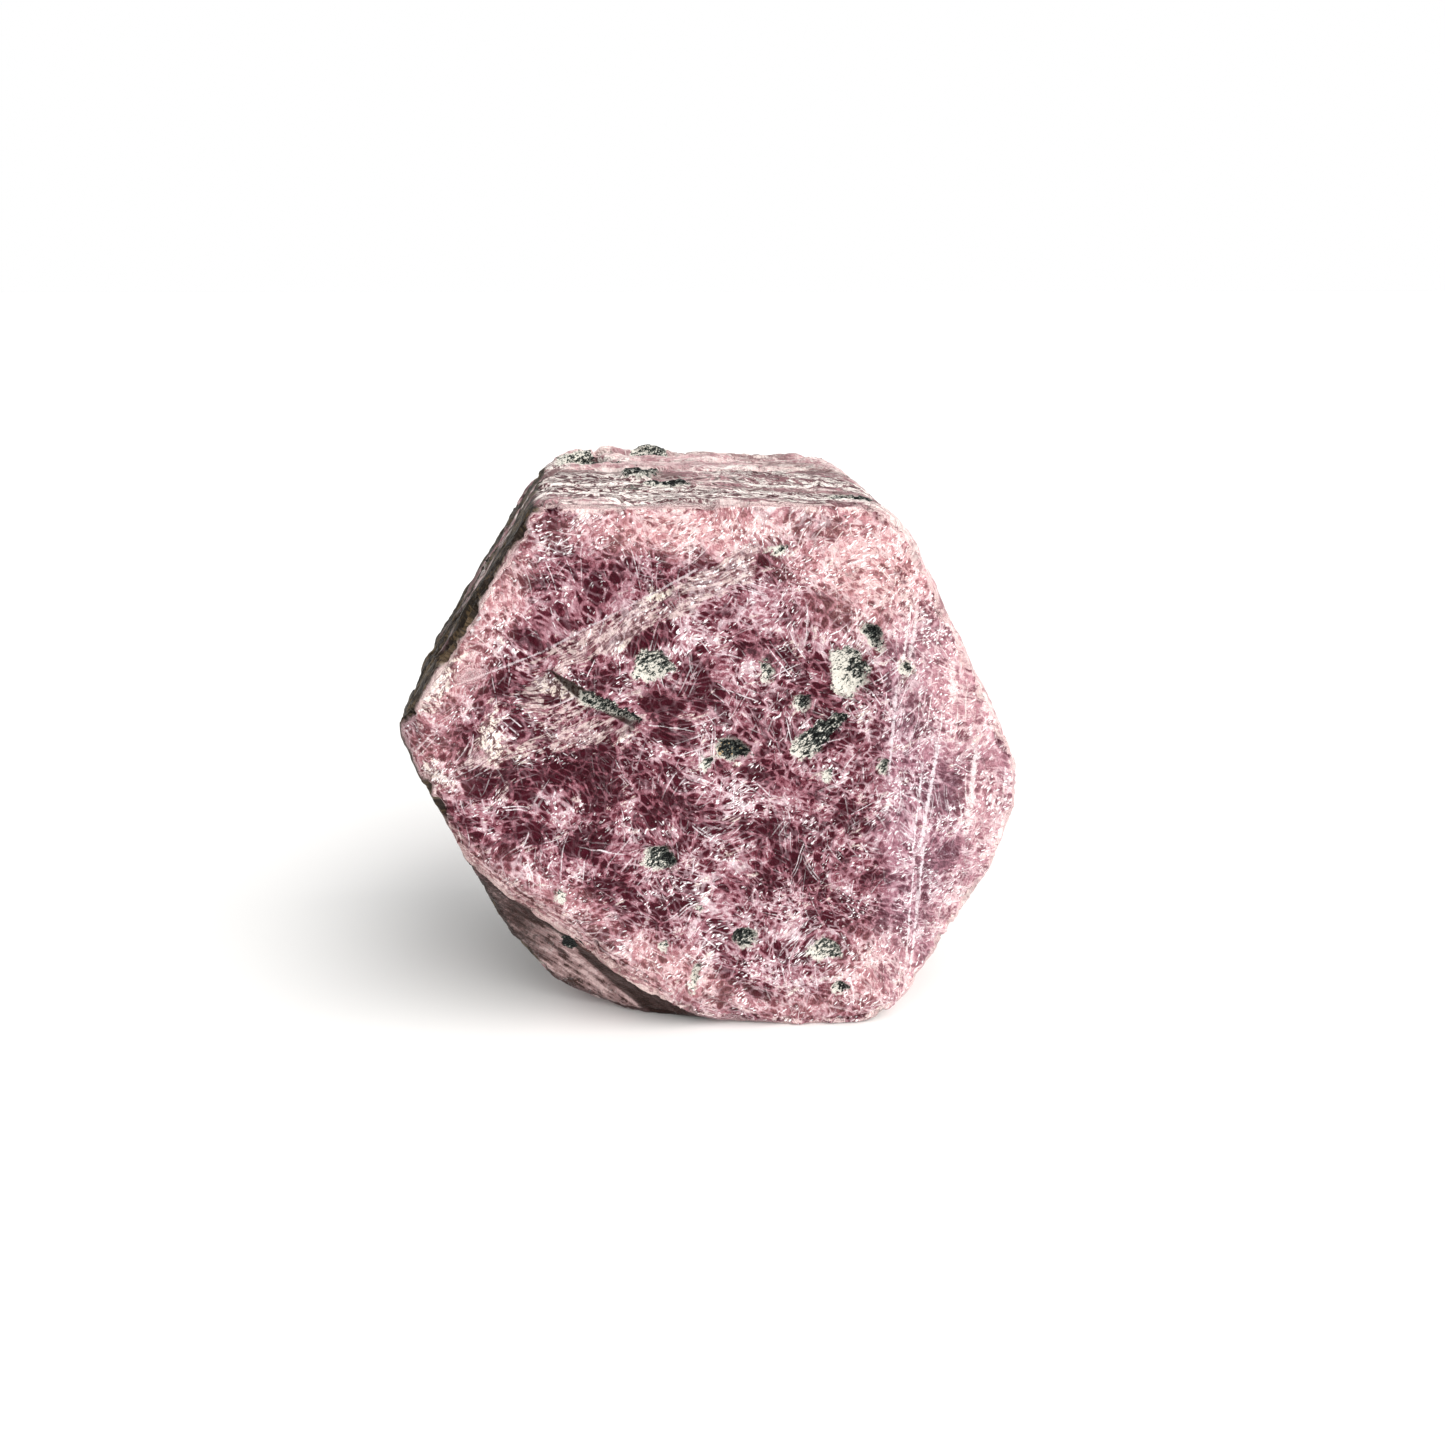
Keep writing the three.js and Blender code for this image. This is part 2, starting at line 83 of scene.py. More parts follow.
# Relief heights, each with the size of what it raises.
crystalRelief = {
    "swell": {"height": 0.10, "size": 3.4},  # slow waves all over
    "grit": {"height": 0.05, "size": 0.7},
    "web": {"height": 0.10, "size": 1.1},  # walls between the small cells of the front and back
    "window": 0.16,  # how deep the dark glassy places lie
    "bandRidges": {"height": 0.16, "size": 0.55, "length": 5.0, "uprightLength": 9.0},
    "growthLines": {"height": 0.12, "size": 0.7, "length": 9.0},
    "splinters": {"height": 0.14, "size": 1.3},
    "chips": {"height": 0.45, "size": 1.5},  # bites out of the rims
    "grainFloor": 0.10,
    "grainRim": 0.10,
    "rearRim": {"height": 0.3, "from": -12.0, "to": 2.5, "fade": 3, "depth": (6, 11)},
}


# Entries of a list given in rows; the names say what each value in a row is.
def inRows(names, rows):
    return [dict(zip(names, row)) for row in rows]


# Mica grains in the front face: place, half sizes, turn in degrees, how pale they are, from below 0 to 1,
# and to which side paler. The long ones have a second end, and their half sizes are those of the ends.
frontGrains = inRows(("at", "half", "turn", "pale", "paleSide", "gold"), [
    ((-4.0, 26.4), (1.25, 1.05), 8, 0.5, 250),
    ((8.7, 25.8), (1.2, 1.65), 7, 0.72, 220),
    ((9.45, 25.7), (0.42, 0.85), 24, 0.05),
    ((10.3, 28.1), (0.5, 0.95), 30, 0.05),
    ((5.7, 23.7), (0.62, 0.48), 15, 0.2),
    ((1.1, 20.6), (1.15, 0.7), -6, 0.0, 225, 0.9),
    ((-3.7, 13.0), (1.1, 0.82), -9, 0.15, 200),
    ((2.0, 7.0), (0.85, 0.68), -28, 0.12, -40),
    ((7.6, 5.9), (1.1, 0.75), 3, 0.6),
    ((8.75, 3.0), (0.52, 0.36), 0, 0.25),
    ((-1.4, 4.3), (0.24, 0.95), -14, 0.7),
    ((3.3, 25.9), (0.36, 0.7), 14, 0.5),
    ((-0.6, 19.7), (0.33, 0.4), 0, 0.45),
    ((7.5, 18.6), (0.33, 0.42), 0, 0.7),
    ((4.1, 33.8), (0.55, 0.28), 12, 0.5),
    ((-1.1, 9.4), (0.24, 0.24), 0, 0.3),
    ((11.2, 19.2), (0.3, 0.5), -10, 0.3),
    ((-9.8, 6.5), (0.8, 0.6), 30, -0.4),
    ((-3.5, 6.7), (0.24, 0.36), 0, 0.6),
    ((12.4, 25.9), (0.38, 0.4), 0, 0.5),
    ((-10.4, 10.6), (0.3, 0.52), 0, 0.8),
])
frontGrains += [  # the long ones
    {"at": (5.9, 20.6), "to": (8.3, 22.6), "half": (0.85, 0.45), "pale": 0.52},
    {"at": (-8.2, 24.25), "to": (-5.1, 22.8), "half": (0.58, 0.26), "pale": 0.44, "paleSide": 235},
]

# The same for the top face (x, y) and the back face (x, z).
topGrains = inRows(("at", "half", "turn", "pale", "proud"), [
    ((-4.5, 0.0), (1.3, 1.8), 0, -0.1, 0.6),
    ((9.3, -10.0), (1.6, 0.8), 0, 0.0),
    ((-8.4, 7.0), (2.3, 2.4), 0, 0.62),
    ((-5.0, -6.6), (0.8, 0.6), 0, 0.0),
    ((-2.7, -5.0), (1.7, 1.0), 8, 0.05, 0.4),
    ((-3.4, 10.8), (1.5, 1.8), 0, 0.5),
])
backGrains = inRows(("at", "half", "turn", "pale"), [
    ((-7.6, 22.5), (1.3, 0.9), 34, 0.15),
    ((9.4, 29.5), (0.9, 0.7), 11, 0.5),
    ((-1.1, 9.5), (1.5, 0.8), -28, 0.2),
    ((15.0, 19.0), (0.7, 1.1), 17, 0.1),
    ((-12.4, 27.0), (0.6, 0.8), 0, 0.7),
])

# Places in the front face where the ruby is dark and clear: half sizes, turn in degrees, and how dark.
darkWindows = inRows(("at", "half", "turn", "dark"), [
    ((-8.8, 19.8), (3.2, 1.3), 22, 1.05),
    ((-7.0, 17.6), (2.1, 1.2), 10, 0.6),
    ((-3.5, 16.8), (1.8, 1.4), 0, 0.6),
    ((-8.6, 13.8), (1.8, 1.2), 0, 0.75),
    ((-7.5, 10.5), (1.6, 1.1), 0, 0.65),
    ((-3.8, 23.6), (2.2, 1.2), -15, 0.65),
    ((-0.8, 24.2), (1.2, 1.2), 0, 0.7),
    ((-2.8, 21.8), (1.2, 0.9), 0, 0.7),
    ((-4.2, 28.2), (1.5, 0.8), 15, 0.8),
    ((-7.2, 32.7), (2.0, 1.5), 10, 0.3),
    ((-12.2, 28.7), (1.6, 1.2), 20, 0.4),
    ((-12.8, 24.2), (2.2, 1.3), 0, 0.65),
    ((-16.5, 21.9), (1.3, 1.1), 0, 0.75),
    ((-15.6, 18.3), (1.2, 1.1), 0, 0.75),
    ((-13.0, 18.5), (1.5, 1.1), 0, 0.75),
    ((6.2, 23.5), (1.6, 1.3), 0, 0.5),
    ((9.1, 23.2), (0.9, 0.9), 0, 0.45),
    ((4.6, 27.1), (1.8, 1.1), 0, 0.9),
    ((6.3, 18.0), (0.9, 0.8), 0, 0.45),
    ((1.8, 15.2), (0.9, 0.7), 0, 0.7),
    ((9.3, 15.4), (1.1, 2.0), 10, 0.6),
    ((5.8, 12.4), (1.3, 1.1), -40, 0.8),
    ((7.2, 10.6), (1.5, 1.0), -50, 0.8),
    ((3.3, 11.2), (1.0, 0.8), 0, 0.7),
    ((6.7, 8.8), (0.9, 0.7), 0, 0.5),
    ((11.0, 11.3), (1.1, 0.9), 0, 0.6),
    ((0.7, 34.2), (1.3, 0.6), 0, 0.25),
    ((-12.5, 14.5), (1.6, 1.2), 0, 0.6),
    ((15.7, 17.8), (0.9, 1.1), 0, 0.4),
    ((16.0, 13.2), (0.9, 1.1), 0, 0.35),
    ((10.5, 29.5), (0.9, 0.8), 0, 0.5),
    ((13.2, 21.0), (0.6, 1.6), 0, 0.35),
])

# Places in the front face that are bleached: half sizes, turn, and how pale. The cool ones are lilac, the
# others peach.
paleAreas = inRows(("at", "half", "turn", "pale", "cool"), [
    ((10.5, 32.5), (6.0, 4.4), -30, 0.9),
    ((16.5, 24.0), (3.4, 6.0), 20, 0.75),
    ((18.5, 15.5), (2.0, 6.0), 0, 0.7),
    ((16.8, 8.5), (2.2, 4.0), -30, 0.6),
    ((12.4, 3.6), (4.4, 3.6), -30, 0.75),
    ((-16.8, 26.6), (2.4, 4.8), -32, 0.7),
    ((-13.6, 31.4), (1.8, 4.0), -32, 0.65),
    ((-18.6, 20.5), (2.0, 3.5), 10, 0.4),
    ((-1.0, 35.2), (9.5, 1.9), 0, 0.85),
    ((-2.5, 4.6), (5.5, 1.9), -32, 0.65),
    ((-10.0, 9.9), (5.5, 1.4), -38, 0.35),
    ((6.0, 1.6), (6.0, 1.3), 0, 0.4),
    ((13.4, 14.5), (2.2, 9.5), 0, 0.42, True),
    ((-14.5, 21.0), (1.0, 1.5), 10, 0.5),
    ((1.3, 17.2), (2.0, 1.4), -20, 0.6, True),
    ((0.5, 29.8), (4.5, 2.4), 25, 0.45, True),
    ((3.0, 6.6), (5.5, 3.0), -20, 0.5, True),
    ((9.4, 19.2), (2.2, 3.4), 10, 0.3, True),
    ((-0.5, 12.6), (1.4, 3.2), 35, 0.28, True),
])

# Places in the front face under a rough cream crust.
crustAreas = inRows(("at", "half", "turn", "full"), [
    ((-10.0, 24.9), (1.5, 0.8), -20, 1.0),
    ((-8.8, 24.1), (1.1, 0.5), -25, 0.7),
    ((-14.5, 21.5), (0.7, 1.8), 8, 1.0),
    ((-13.4, 20.6), (1.8, 0.6), 20, 0.5),
    ((-17.2, 26.0), (0.8, 3.2), -32, 0.75),
    ((-15.2, 30.6), (0.7, 3.0), -32, 0.7),
    ((-18.4, 19.6), (0.9, 1.6), 10, 0.7),
    ((-3.6, 30.8), (0.9, 0.6), 20, 0.8),
    ((12.4, 26.2), (0.5, 0.8), 0, 0.8),
    ((1.4, 19.4), (0.4, 0.7), 20, 0.5),
])

# The same for the top face (x, y).
topCrust = inRows(("at", "half", "turn", "full"), [
    ((-8.5, -3.5), (5.5, 5.5), 0, 1.0),
    ((-2.0, -8.5), (6.0, 3.0), 0, 0.9),
    ((5.5, -9.8), (4.5, 2.0), 0, 0.7),
    ((-11.0, 6.5), (2.5, 3.0), 0, 0.6),
    ((3.0, 1.0), (3.5, 1.2), 0, 0.5),
])

# Healed fractures: grey and cream bands of fine ridges across the front face.
fibreBands = inRows(("from", "to", "half", "full"), [
    ((-11.0, 26.5), (4.6, 34.0), 1.15, 0.92),
    ((-17.4, 20.0), (-4.9, 22.7), 0.95, 0.7),
    ((-15.0, 22.4), (-13.6, 17.2), 0.8, 0.5),
    ((-12.5, 24.6), (-8.6, 22.6), 1.3, 0.6),
])

# Thin straight marks on the front face: ends, width, and how plainly they show. Of two neighbours one has
# an even place in the list and the other an odd one.
straightMarks = inRows(("from", "to", "width", "shown"), [
    ((-17.0, 25.2), (-11.0, 27.4), 0.08, 0.55),
    ((-11.0, 27.4), (-1.0, 32.6), 0.1, 0.5),
    ((-4.9, 22.5), (-1.4, 21.9), 0.06, 0.6),
    ((12.7, 30.2), (12.2, 25.8), 0.14, 0.9),
    ((13.1, 30.0), (12.7, 26.4), 0.2, 0.7),
    ((11.9, 24.6), (11.6, 18.4), 0.16, 0.65),
    ((14.9, 20.6), (13.9, 13.0), 0.18, 0.75),
    ((13.9, 19.4), (13.4, 12.6), 0.1, 0.8),
    ((14.2, 13.4), (13.6, 3.8), 0.14, 0.75),
    ((13.6, 12.8), (13.2, 4.3), 0.11, 0.7),
    ((17.5, 20.2), (17.1, 13.8), 0.32, 0.8),
    ((19.6, 19.0), (19.4, 15.0), 0.13, 0.6),
    ((15.6, 26.2), (15.8, 23.2), 0.4, 0.8),
    ((-15.6, 13.0), (-9.6, 8.3), 0.12, 0.5),
    ((-15.0, 11.7), (-5.5, 4.8), 0.14, 0.5),
    ((-12.3, 10.5), (-6.4, 5.8), 0.1, 0.4),
])

# The notch: a dark brown shadow under its straight wall.
notchWall = {"head": (-10.8, 26.35), "tip": (-4.7, 22.65), "shade": 0.85}

# The corner that broke away: its wall's line, from the left edge to the foot.
brokenWall = [
    (-17.5, 13.8),
    (-15.9, 12.1),
    (-13.7, 9.8),
    (-11.5, 8.3),
    (-9.9, 7.3),
    (-9.0, 6.1),
    (-7.3, 4.8),
    (-5.1, 3.2),
    (-2.8, 1.7),
    (-0.2, 0.1),
]
wallShadow = ((-17, -10, -4), (0.2, 0.6, 2.2))  # how far out the dark line below it goes, by place across


# A copy of the solid with small even faces, so that its surface can be worked.
def denseCopy(node, name, faceSize):
    piece = bpy.data.objects.new(name, node.data.copy())
    bpy.context.scene.collection.objects.link(piece)
    remesh = piece.modifiers.new("evenFaces", "REMESH")
    remesh.mode = "VOXEL"
    remesh.voxel_size = faceSize * mm
    evaluated = piece.evaluated_get(bpy.context.evaluated_depsgraph_get())
    dense = bpy.data.meshes.new_from_object(evaluated)
    piece.modifiers.clear()
    piece.data = dense
    dense.name = name
    dense.materials.clear()
    dense.shade_smooth()
    solid = BVHTree.FromObject(node, bpy.context.evaluated_depsgraph_get())
    for vertex in dense.vertices:  # back onto the solid, which the even faces round off
        vertex.co = solid.find_nearest(vertex.co)[0]
    dense.update()
    return piece


def pointsOf(mesh):
    points = np.empty(len(mesh.vertices) * 3)
    mesh.vertices.foreach_get("co", points)
    return points.reshape(-1, 3) / mm


def normalsOf(mesh):
    normals = np.empty(len(mesh.vertices) * 3)
    mesh.vertices.foreach_get("normal", normals)
    return normals.reshape(-1, 3)


# Every value becomes the mean of its neighbours', a number of times over.
def smoothed(mesh, values, rounds):
    ends = np.empty(len(mesh.edges) * 2, dtype=np.int64)
    mesh.edges.foreach_get("vertices", ends)
    a, b = ends.reshape(-1, 2).T
    count = len(values)
    neighbours = np.bincount(a, minlength=count) + np.bincount(b, minlength=count)
    columns = values.reshape(count, -1).astype(float)
    for _ in range(rounds):
        total = np.empty_like(columns)
        for i, column in enumerate(columns.T):
            total[:, i] = np.bincount(a, column[b], count) + np.bincount(b, column[a], count)
        columns = (columns + total) / (neighbours + 1)[:, None]
    return columns.reshape(values.shape)


# 0 below low, 1 above high, and a soft curve between.
def softStep(values, low, high):
    t = np.clip((values - low) / (high - low), 0, 1)
    return t * t * (3 - 2 * t)


# Fractal noise from about -1 to 1 at points already scaled to the size of the noise.
def fractalNoise(points, seed, octaves=4):
    shift = Vector((seed * 17.3, seed * 5.9, seed * 11.7))
    return np.array([noise.fractal(Vector(p) + shift, 1.0, 2.0, octaves) for p in points.tolist()])


# The same, with one column for each seed.
def driftNoise(points, seeds, octaves):
    return np.stack([fractalNoise(points, seed, octaves) for seed in seeds], axis=1)


# Ridged noise: 1 along sharp crests and falling away from them.
def crestNoise(points, seed):
    return 1 - np.abs(fractalNoise(points, seed, 3)) * 2


# How near a point is to the wall between two cells of the given size: 1 on the wall.
def cellWalls(points, size, seed):
    shift = Vector((seed * 7.1, seed * 3.7, seed * 9.3))
    gaps = []
    for p in (points / size).tolist():
        near, _ = noise.voronoi(Vector(p) + shift)
        gaps.append(near[1] - near[0])
    return 1 - softStep(np.array(gaps), 0.0, 0.45)


# Distance from an ellipse's outline in its own plane, in millimetres, below zero inside it.
def ellipseGap(flat, spot, jagged=0.0):
    turn = math.radians(spot["turn"])
    across = flat - np.array(spot["at"])
    u = across[:, 0] * math.cos(turn) + across[:, 1] * math.sin(turn)
    v = across[:, 1] * math.cos(turn) - across[:, 0] * math.sin(turn)
    wide, high = spot["half"]
    angle = np.arctan2(v / high, u / wide)
    own = spot["at"][0] * 7 + spot["at"][1] * 3  # so that no two outlines are alike
    corners = np.cos(3 * angle + own) + 0.8 * np.cos(5 * angle + 2 * own)
    corners = corners + 0.5 * np.cos(8 * angle + 3 * own)
    return (np.hypot(u / wide, v / high) - 1 - jagged * corners) * min(wide, high)


# How fully a spot covers each point, fading between two shares of its size on either side of its outline.
def spotCover(flat, spot, inner, outer):
    return 1 - softStep(ellipseGap(flat, spot) / min(spot["half"]), inner, outer)


# Distance from a straight stretch, and the share of the way along it.
def stretchGap(flat, start, end):
    start, end = np.array(start), np.array(end)
    along = end - start
    share = np.clip((flat - start) @ along / (along @ along), 0, 1)
    return np.linalg.norm(flat - start - share[:, None] * along, axis=1), share


# How far each point lies to the side of the nearest of some marks, in widths of that mark, and how
# plainly that mark shows there.
def markFields(flat, marks):
    nearest, side, shown = np.full((3, len(flat)), farAway)
    for mark in marks:
        start, end = np.array(mark["from"]), np.array(mark["to"])
        length = np.linalg.norm(end - start)
        way = (end - start) / length
        along = (flat - start) @ way
        across = (flat - start) @ np.array([-way[1], way[0]])
        away, _ = stretchGap(flat, start, end)
        closer = away < nearest
        nearest = np.where(closer, away, nearest)
        side = np.where(closer, across / mark["width"], side)
        ends = softStep(along, -0.1, 0.2) * (1 - softStep(along, length - 0.2, length + 0.1))
        shown = np.where(closer, mark["shown"] * ends * (1 - softStep(away, 0.5, markReach)), shown)
    return np.clip(side, -farAway, farAway), np.where(nearest < markReach, shown, 0.0)


# Growth lines cross the prism faces; on the top they bend towards the front at the right.
def acrossGrowth(points):
    x, y, _ = points.T
    bend = crystalShape["growthBend"]
    return y + bend["by"] * (np.clip(x, bend["from"], bend["to"]) + bend["shift"]) ** 2


# Which face each point belongs to, which way it looks, and how worn it is.
def faceFields(mesh, points):
    x, y, z = points.T
    limits = crystalShape["limits"]
    facing = smoothed(mesh, normalsOf(mesh), crystalShape["rimSoftness"])
    facing /= np.linalg.norm(facing, axis=1)[:, None]
    ragged = fractalNoise(points / 1.6, 2)
    notchGap, _ = stretchGap(points[:, [0, 2]], notchWall["head"], notchWall["tip"])
    nearNotch = (1 - softStep(notchGap, *limits["notch"])) * (y < 0)
    upper = softStep(z, *limits["upper"])
    leftRim = softStep(-x, *limits["leftRim"]) * softStep(z, *limits["leftRimUp"])
    front = softStep(-facing[:, 1] + 0.12 * ragged - 0.32 * leftRim, *limits["basalFacing"])
    front *= 1 - upper * softStep(y, *limits["upperFront"])
    front = np.maximum(front, nearNotch)
    back = softStep(facing[:, 1] + 0.06 * ragged, *limits["basalFacing"])
    back *= 1 - upper * softStep(-y, *limits["upperBack"])
    mean = smoothed(mesh, points, crystalShape["wearRounds"])
    wear = np.sum((points - mean) * facing, axis=1)  # how far it stands out from its neighbourhood
    wear = np.clip(wear / crystalShape["fullWear"], -1, 1)
    return {
        "front": front,
        "back": back,
        "basal": front + back,
        "top": softStep(facing[:, 2], *limits["topFacing"]),
        "facing": facing,
        "wear": wear * (1 - nearNotch),
        "inwards": mean - points,
    }


# The distance from the nearest grain's outline, and what that grain is like.
def grainFields(points, faces):
    front, back = faces["front"], faces["back"]
    flat = points[:, [0, 2]]
    gap = np.full(len(points), farAway)
    pale, rim, gold, proud = np.zeros((4, len(points)))
    wobble = 0.14 * fractalNoise(points / 0.5, 5, 2)
    onTop = (front < 0.5) & (back < 0.5) & (points[:, 2] > crystalShape["limits"]["topGrains"])
    sides = [
        (frontGrains, flat, front > 0.5),
        (backGrains, flat, back > 0.5),
        (topGrains, points[:, :2], onTop),
    ]
    for grains, plane, here in sides:
        for grain in grains:
            if "to" in grain:
                away, share = stretchGap(plane, grain["at"], grain["to"])
                ownGap = away - np.interp(share, [0, 1], grain["half"])
            else:
                ownGap = ellipseGap(plane, grain, 0.09)
            ownGap = np.where(here, ownGap + wobble, farAway)
            take = (ownGap < gap) | ((ownGap < 0) & (gap < 0))
            gap = np.where(take, ownGap, gap)
            side = math.radians(grain.get("paleSide", 225))
            toSide = (plane - np.array(grain["at"])) @ np.array([math.cos(side), math.sin(side)])
            toSide = np.clip(toSide / max(grain["half"]), -1, 1)
            pale = np.where(take, grain["pale"] + 0.35 * toSide, pale)
            rim = np.where(take, (0.5 + 0.5 * toSide) * softStep(grain["pale"], -0.4, 0.1), rim)
            gold = np.where(take, grain.get("gold", 0.0), gold)
            proud = np.where(take, grain.get("proud", 0.0), proud)
    gap = np.clip(gap, -1.5, 1.5)
    return {"grainGap": gap, "grainPale": pale, "grainRim": rim, "grainGold": gold, "grainProud": proud}


# Dark and bleached places, crust, bands and marks of the front face; the others have theirs from noise.
def toneFields(points, faces, drift):
    x, y, z = points.T
    flat = points[:, [0, 2]]
    limits = crystalShape["limits"]
    front, back, top, facing = (faces[name] for name in ("front", "back", "top", "facing"))
    driftedFlat = flat + 0.75 * drift
    dark, bleached, milky, crust, band = np.zeros((5, len(points)))
    for spot in darkWindows:
        dark = np.maximum(dark, spotCover(driftedFlat, spot, -0.55, 0.5) * spot["dark"])
    for spot in paleAreas:
        area = milky if spot.get("cool") else bleached
        np.maximum(area, spotCover(driftedFlat, spot, -0.8, 0.45) * spot["pale"], out=area)
    for spot in crustAreas:
        crust = np.maximum(crust, spotCover(flat + 0.3 * drift, spot, -0.7, 0.5) * spot["full"])
    crust *= front
    for spot in topCrust:
        crust = np.maximum(crust, spotCover(points[:, :2] + drift, spot, -0.6, 0.3) * spot["full"] * top)
    for stripe in fibreBands:
        distance, share = stretchGap(flat + 0.3 * drift, stripe["from"], stripe["to"])
        ends = softStep(share, 0.0, 0.12) * (1 - softStep(share, 0.82, 1.0))
        inside = 1 - softStep(distance / stripe["half"], 0.55, 1.25)
        band = np.maximum(band, inside * (0.35 + 0.65 * ends) * stripe["full"])

    backDark = softStep(fractalNoise(points / 3.0, 11, 3), 0.1, 0.55)
    backBleached = softStep(fractalNoise(points / 4.5, 13, 3), 0.05, 0.7) * 0.7
    rearTop = softStep(y, *limits["rearTop"]) * top * 0.8
    rightRim = softStep(facing[:, 0], *limits["rightFacing"]) * softStep(-y, *limits["rightRim"])
    upright = softStep(x + 0.9 * drift[:, 0], *limits["upright"])
    # The left prism faces: a dark olive stain, painted darker still to stand in for the shade on that side.
    patches = fractalNoise(points / [6.0, 3.5, 6.0], 17, 4) + 0.4
    patches = patches + 0.4 * (1 - softStep(y, *limits["fullStainAndShade"]))
    stainedAndShaded = softStep(-facing[:, 0], *limits["leftFacing"]) * (1 - faces["basal"])
    fields = {
        "window": dark * front + backDark * back,
        "milky": milky * front,
        "bleached": bleached * front + backBleached * back + np.maximum(rearTop, rightRim * (1 - front)),
        "crust": crust,
        "band": band * front,
        "upright": upright * (1 - softStep(z, *limits["uprightUp"])) * front,
        "stainedAndShaded": stainedAndShaded * softStep(patches, -0.25, 0.35),
    }
    for name, marks in (("mark", straightMarks[::2]), ("twin", straightMarks[1::2])):
        side, shown = markFields(flat, marks)
        fields[name + "Side"] = side
        fields[name + "Shown"] = shown * front
    return fields


# The broken corner: what lies outwards of its wall and looks forwards or down.
def brokenFields(points, faces, drift):
    x, y, z = points.T
    limits = crystalShape["limits"]
    wallX, wallZ = np.array(brokenWall).T
    wallHeight = np.interp(x, wallX, wallZ, left=brokenWall[0][1], right=-5)
    outwards = (wallHeight - z) * 0.78
    broken = softStep(outwards, 0.1, 0.6) * softStep(-faces["facing"][:, 1], 0.15, 0.4)
    # A dark line under the wall, painted as its shadow; towards the left the corner is brown.
    reach = np.interp(x, *wallShadow)
    under = softStep(outwards, -0.05, 0.2) * (1 - softStep(outwards - reach, -0.2, 0.3))
    nearFront = softStep(1.5 * drift[:, 0] - y, *limits["nearFront"])
    browned = 0.6 * broken * softStep(-x, *limits["browned"])
    layered = (1 - softStep(-outwards, 0.7, 2.2)) * (1 - softStep(outwards - reach, -0.5, 0.1))
    return {
        "broken": broken,
        "wallShadowAndBrown": np.maximum(under * nearFront, browned),
        "layered": layered * nearFront * softStep(-x, *limits["layered"]),
        "layerDepth": outwards + 0.8 * y,
    }


# Where each kind of surface is, as one value for every point of the mesh.
def surfaceFields(mesh, points):
    faces = faceFields(mesh, points)
    drift = driftNoise(points / 2.2, (7, 8), 3)
    tones = toneFields(points, faces, drift)
    return faces | grainFields(points, faces) | tones | brokenFields(points, faces, drift)


# How far every point is raised along its normal.
def surfaceRelief(points, fields):
    x, y, z = points.T
    relief = crystalRelief
    basal, prism = fields["basal"], 1 - fields["basal"]
    swell, grit, web = relief["swell"], relief["grit"], relief["web"]
    height = swell["height"] * fractalNoise(points / swell["size"], 21, 3) * (0.5 + 0.9 * prism)
    height += grit["height"] * fractalNoise(points / grit["size"], 22, 3)

    drift = driftNoise(points / 1.3, (31, 32, 33), 2)
    walls = cellWalls((points + 0.35 * drift) * [1, 0.15, 1], web["size"], 1)
    height += web["height"] * (walls - 0.4) * basal * (1 - 0.5 * fields["broken"])
    height -= relief["window"] * fields["window"] * basal * (0.6 + 0.4 * (1 - walls))

    ridges = relief["bandRidges"]
    first = fibreBands[0]
    lean = math.atan2(first["to"][1] - first["from"][1], first["to"][0] - first["from"][0])
    along = x * math.cos(lean) + z * math.sin(lean)
    across = z * math.cos(lean) - x * math.sin(lean)
    bandPoints = np.stack([along / ridges["length"], across / ridges["size"], 0 * x], axis=1)
    height += ridges["height"] * crestNoise(bandPoints, 41) * fields["band"]
    upright = np.stack([x / ridges["size"], z / ridges["uprightLength"], 0 * x], axis=1)
    height += 0.6 * ridges["height"] * crestNoise(upright, 42) * fields["upright"]

    lines, splinters = relief["growthLines"], relief["splinters"]
    slanted = acrossGrowth(points)
    linePoints = np.stack([x / lines["length"], slanted / lines["size"], z / lines["length"]], axis=1)
    height += lines["height"] * crestNoise(linePoints, 43) * prism * (1 - fields["broken"])
    shards = np.stack([x * 0.4, y, z * 0.4], axis=1) / splinters["size"]
    height += splinters["height"] * fractalNoise(shards, 44, 4) * prism * (1 - fields["broken"])

    chips = relief["chips"]
    bites = softStep(fractalNoise(points / chips["size"], 46, 3), 0.0, 0.5)
    height -= chips["height"] * bites * softStep(fields["wear"], 0.15, 0.6)

    gap = fields["grainGap"]
    inGrain = 1 - softStep(gap, -0.2, 0.05)
    rim = np.exp(-((gap - 0.12) / 0.16) ** 2)
    rough = fractalNoise(points / 0.45, 45, 3)
    height = height * (1 - 0.8 * inGrain) + relief["grainFloor"] * rough * inGrain
    height += relief["grainRim"] * rim
    height += fields["grainProud"] * inGrain

    rear = relief["rearRim"]
    start, end, fade = rear["from"], rear["to"], rear["fade"]
    lifted = softStep(x, start, start + fade) * (1 - softStep(x, end - fade, end))
    height += rear["height"] * lifted * softStep(y, *rear["depth"]) * fields["top"]
    return height


# What the finish reads from the mesh.
keptFields = ["basal", "back", "window", "bleached", "milky", "crust", "band", "upright", "stainedAndShaded", "wear"]
keptFields += ["broken", "wallShadowAndBrown", "layered", "layerDepth", "grainGap", "grainPale", "grainRim"]
keptFields += ["grainGold", "markSide", "markShown", "twinSide", "twinShown"]


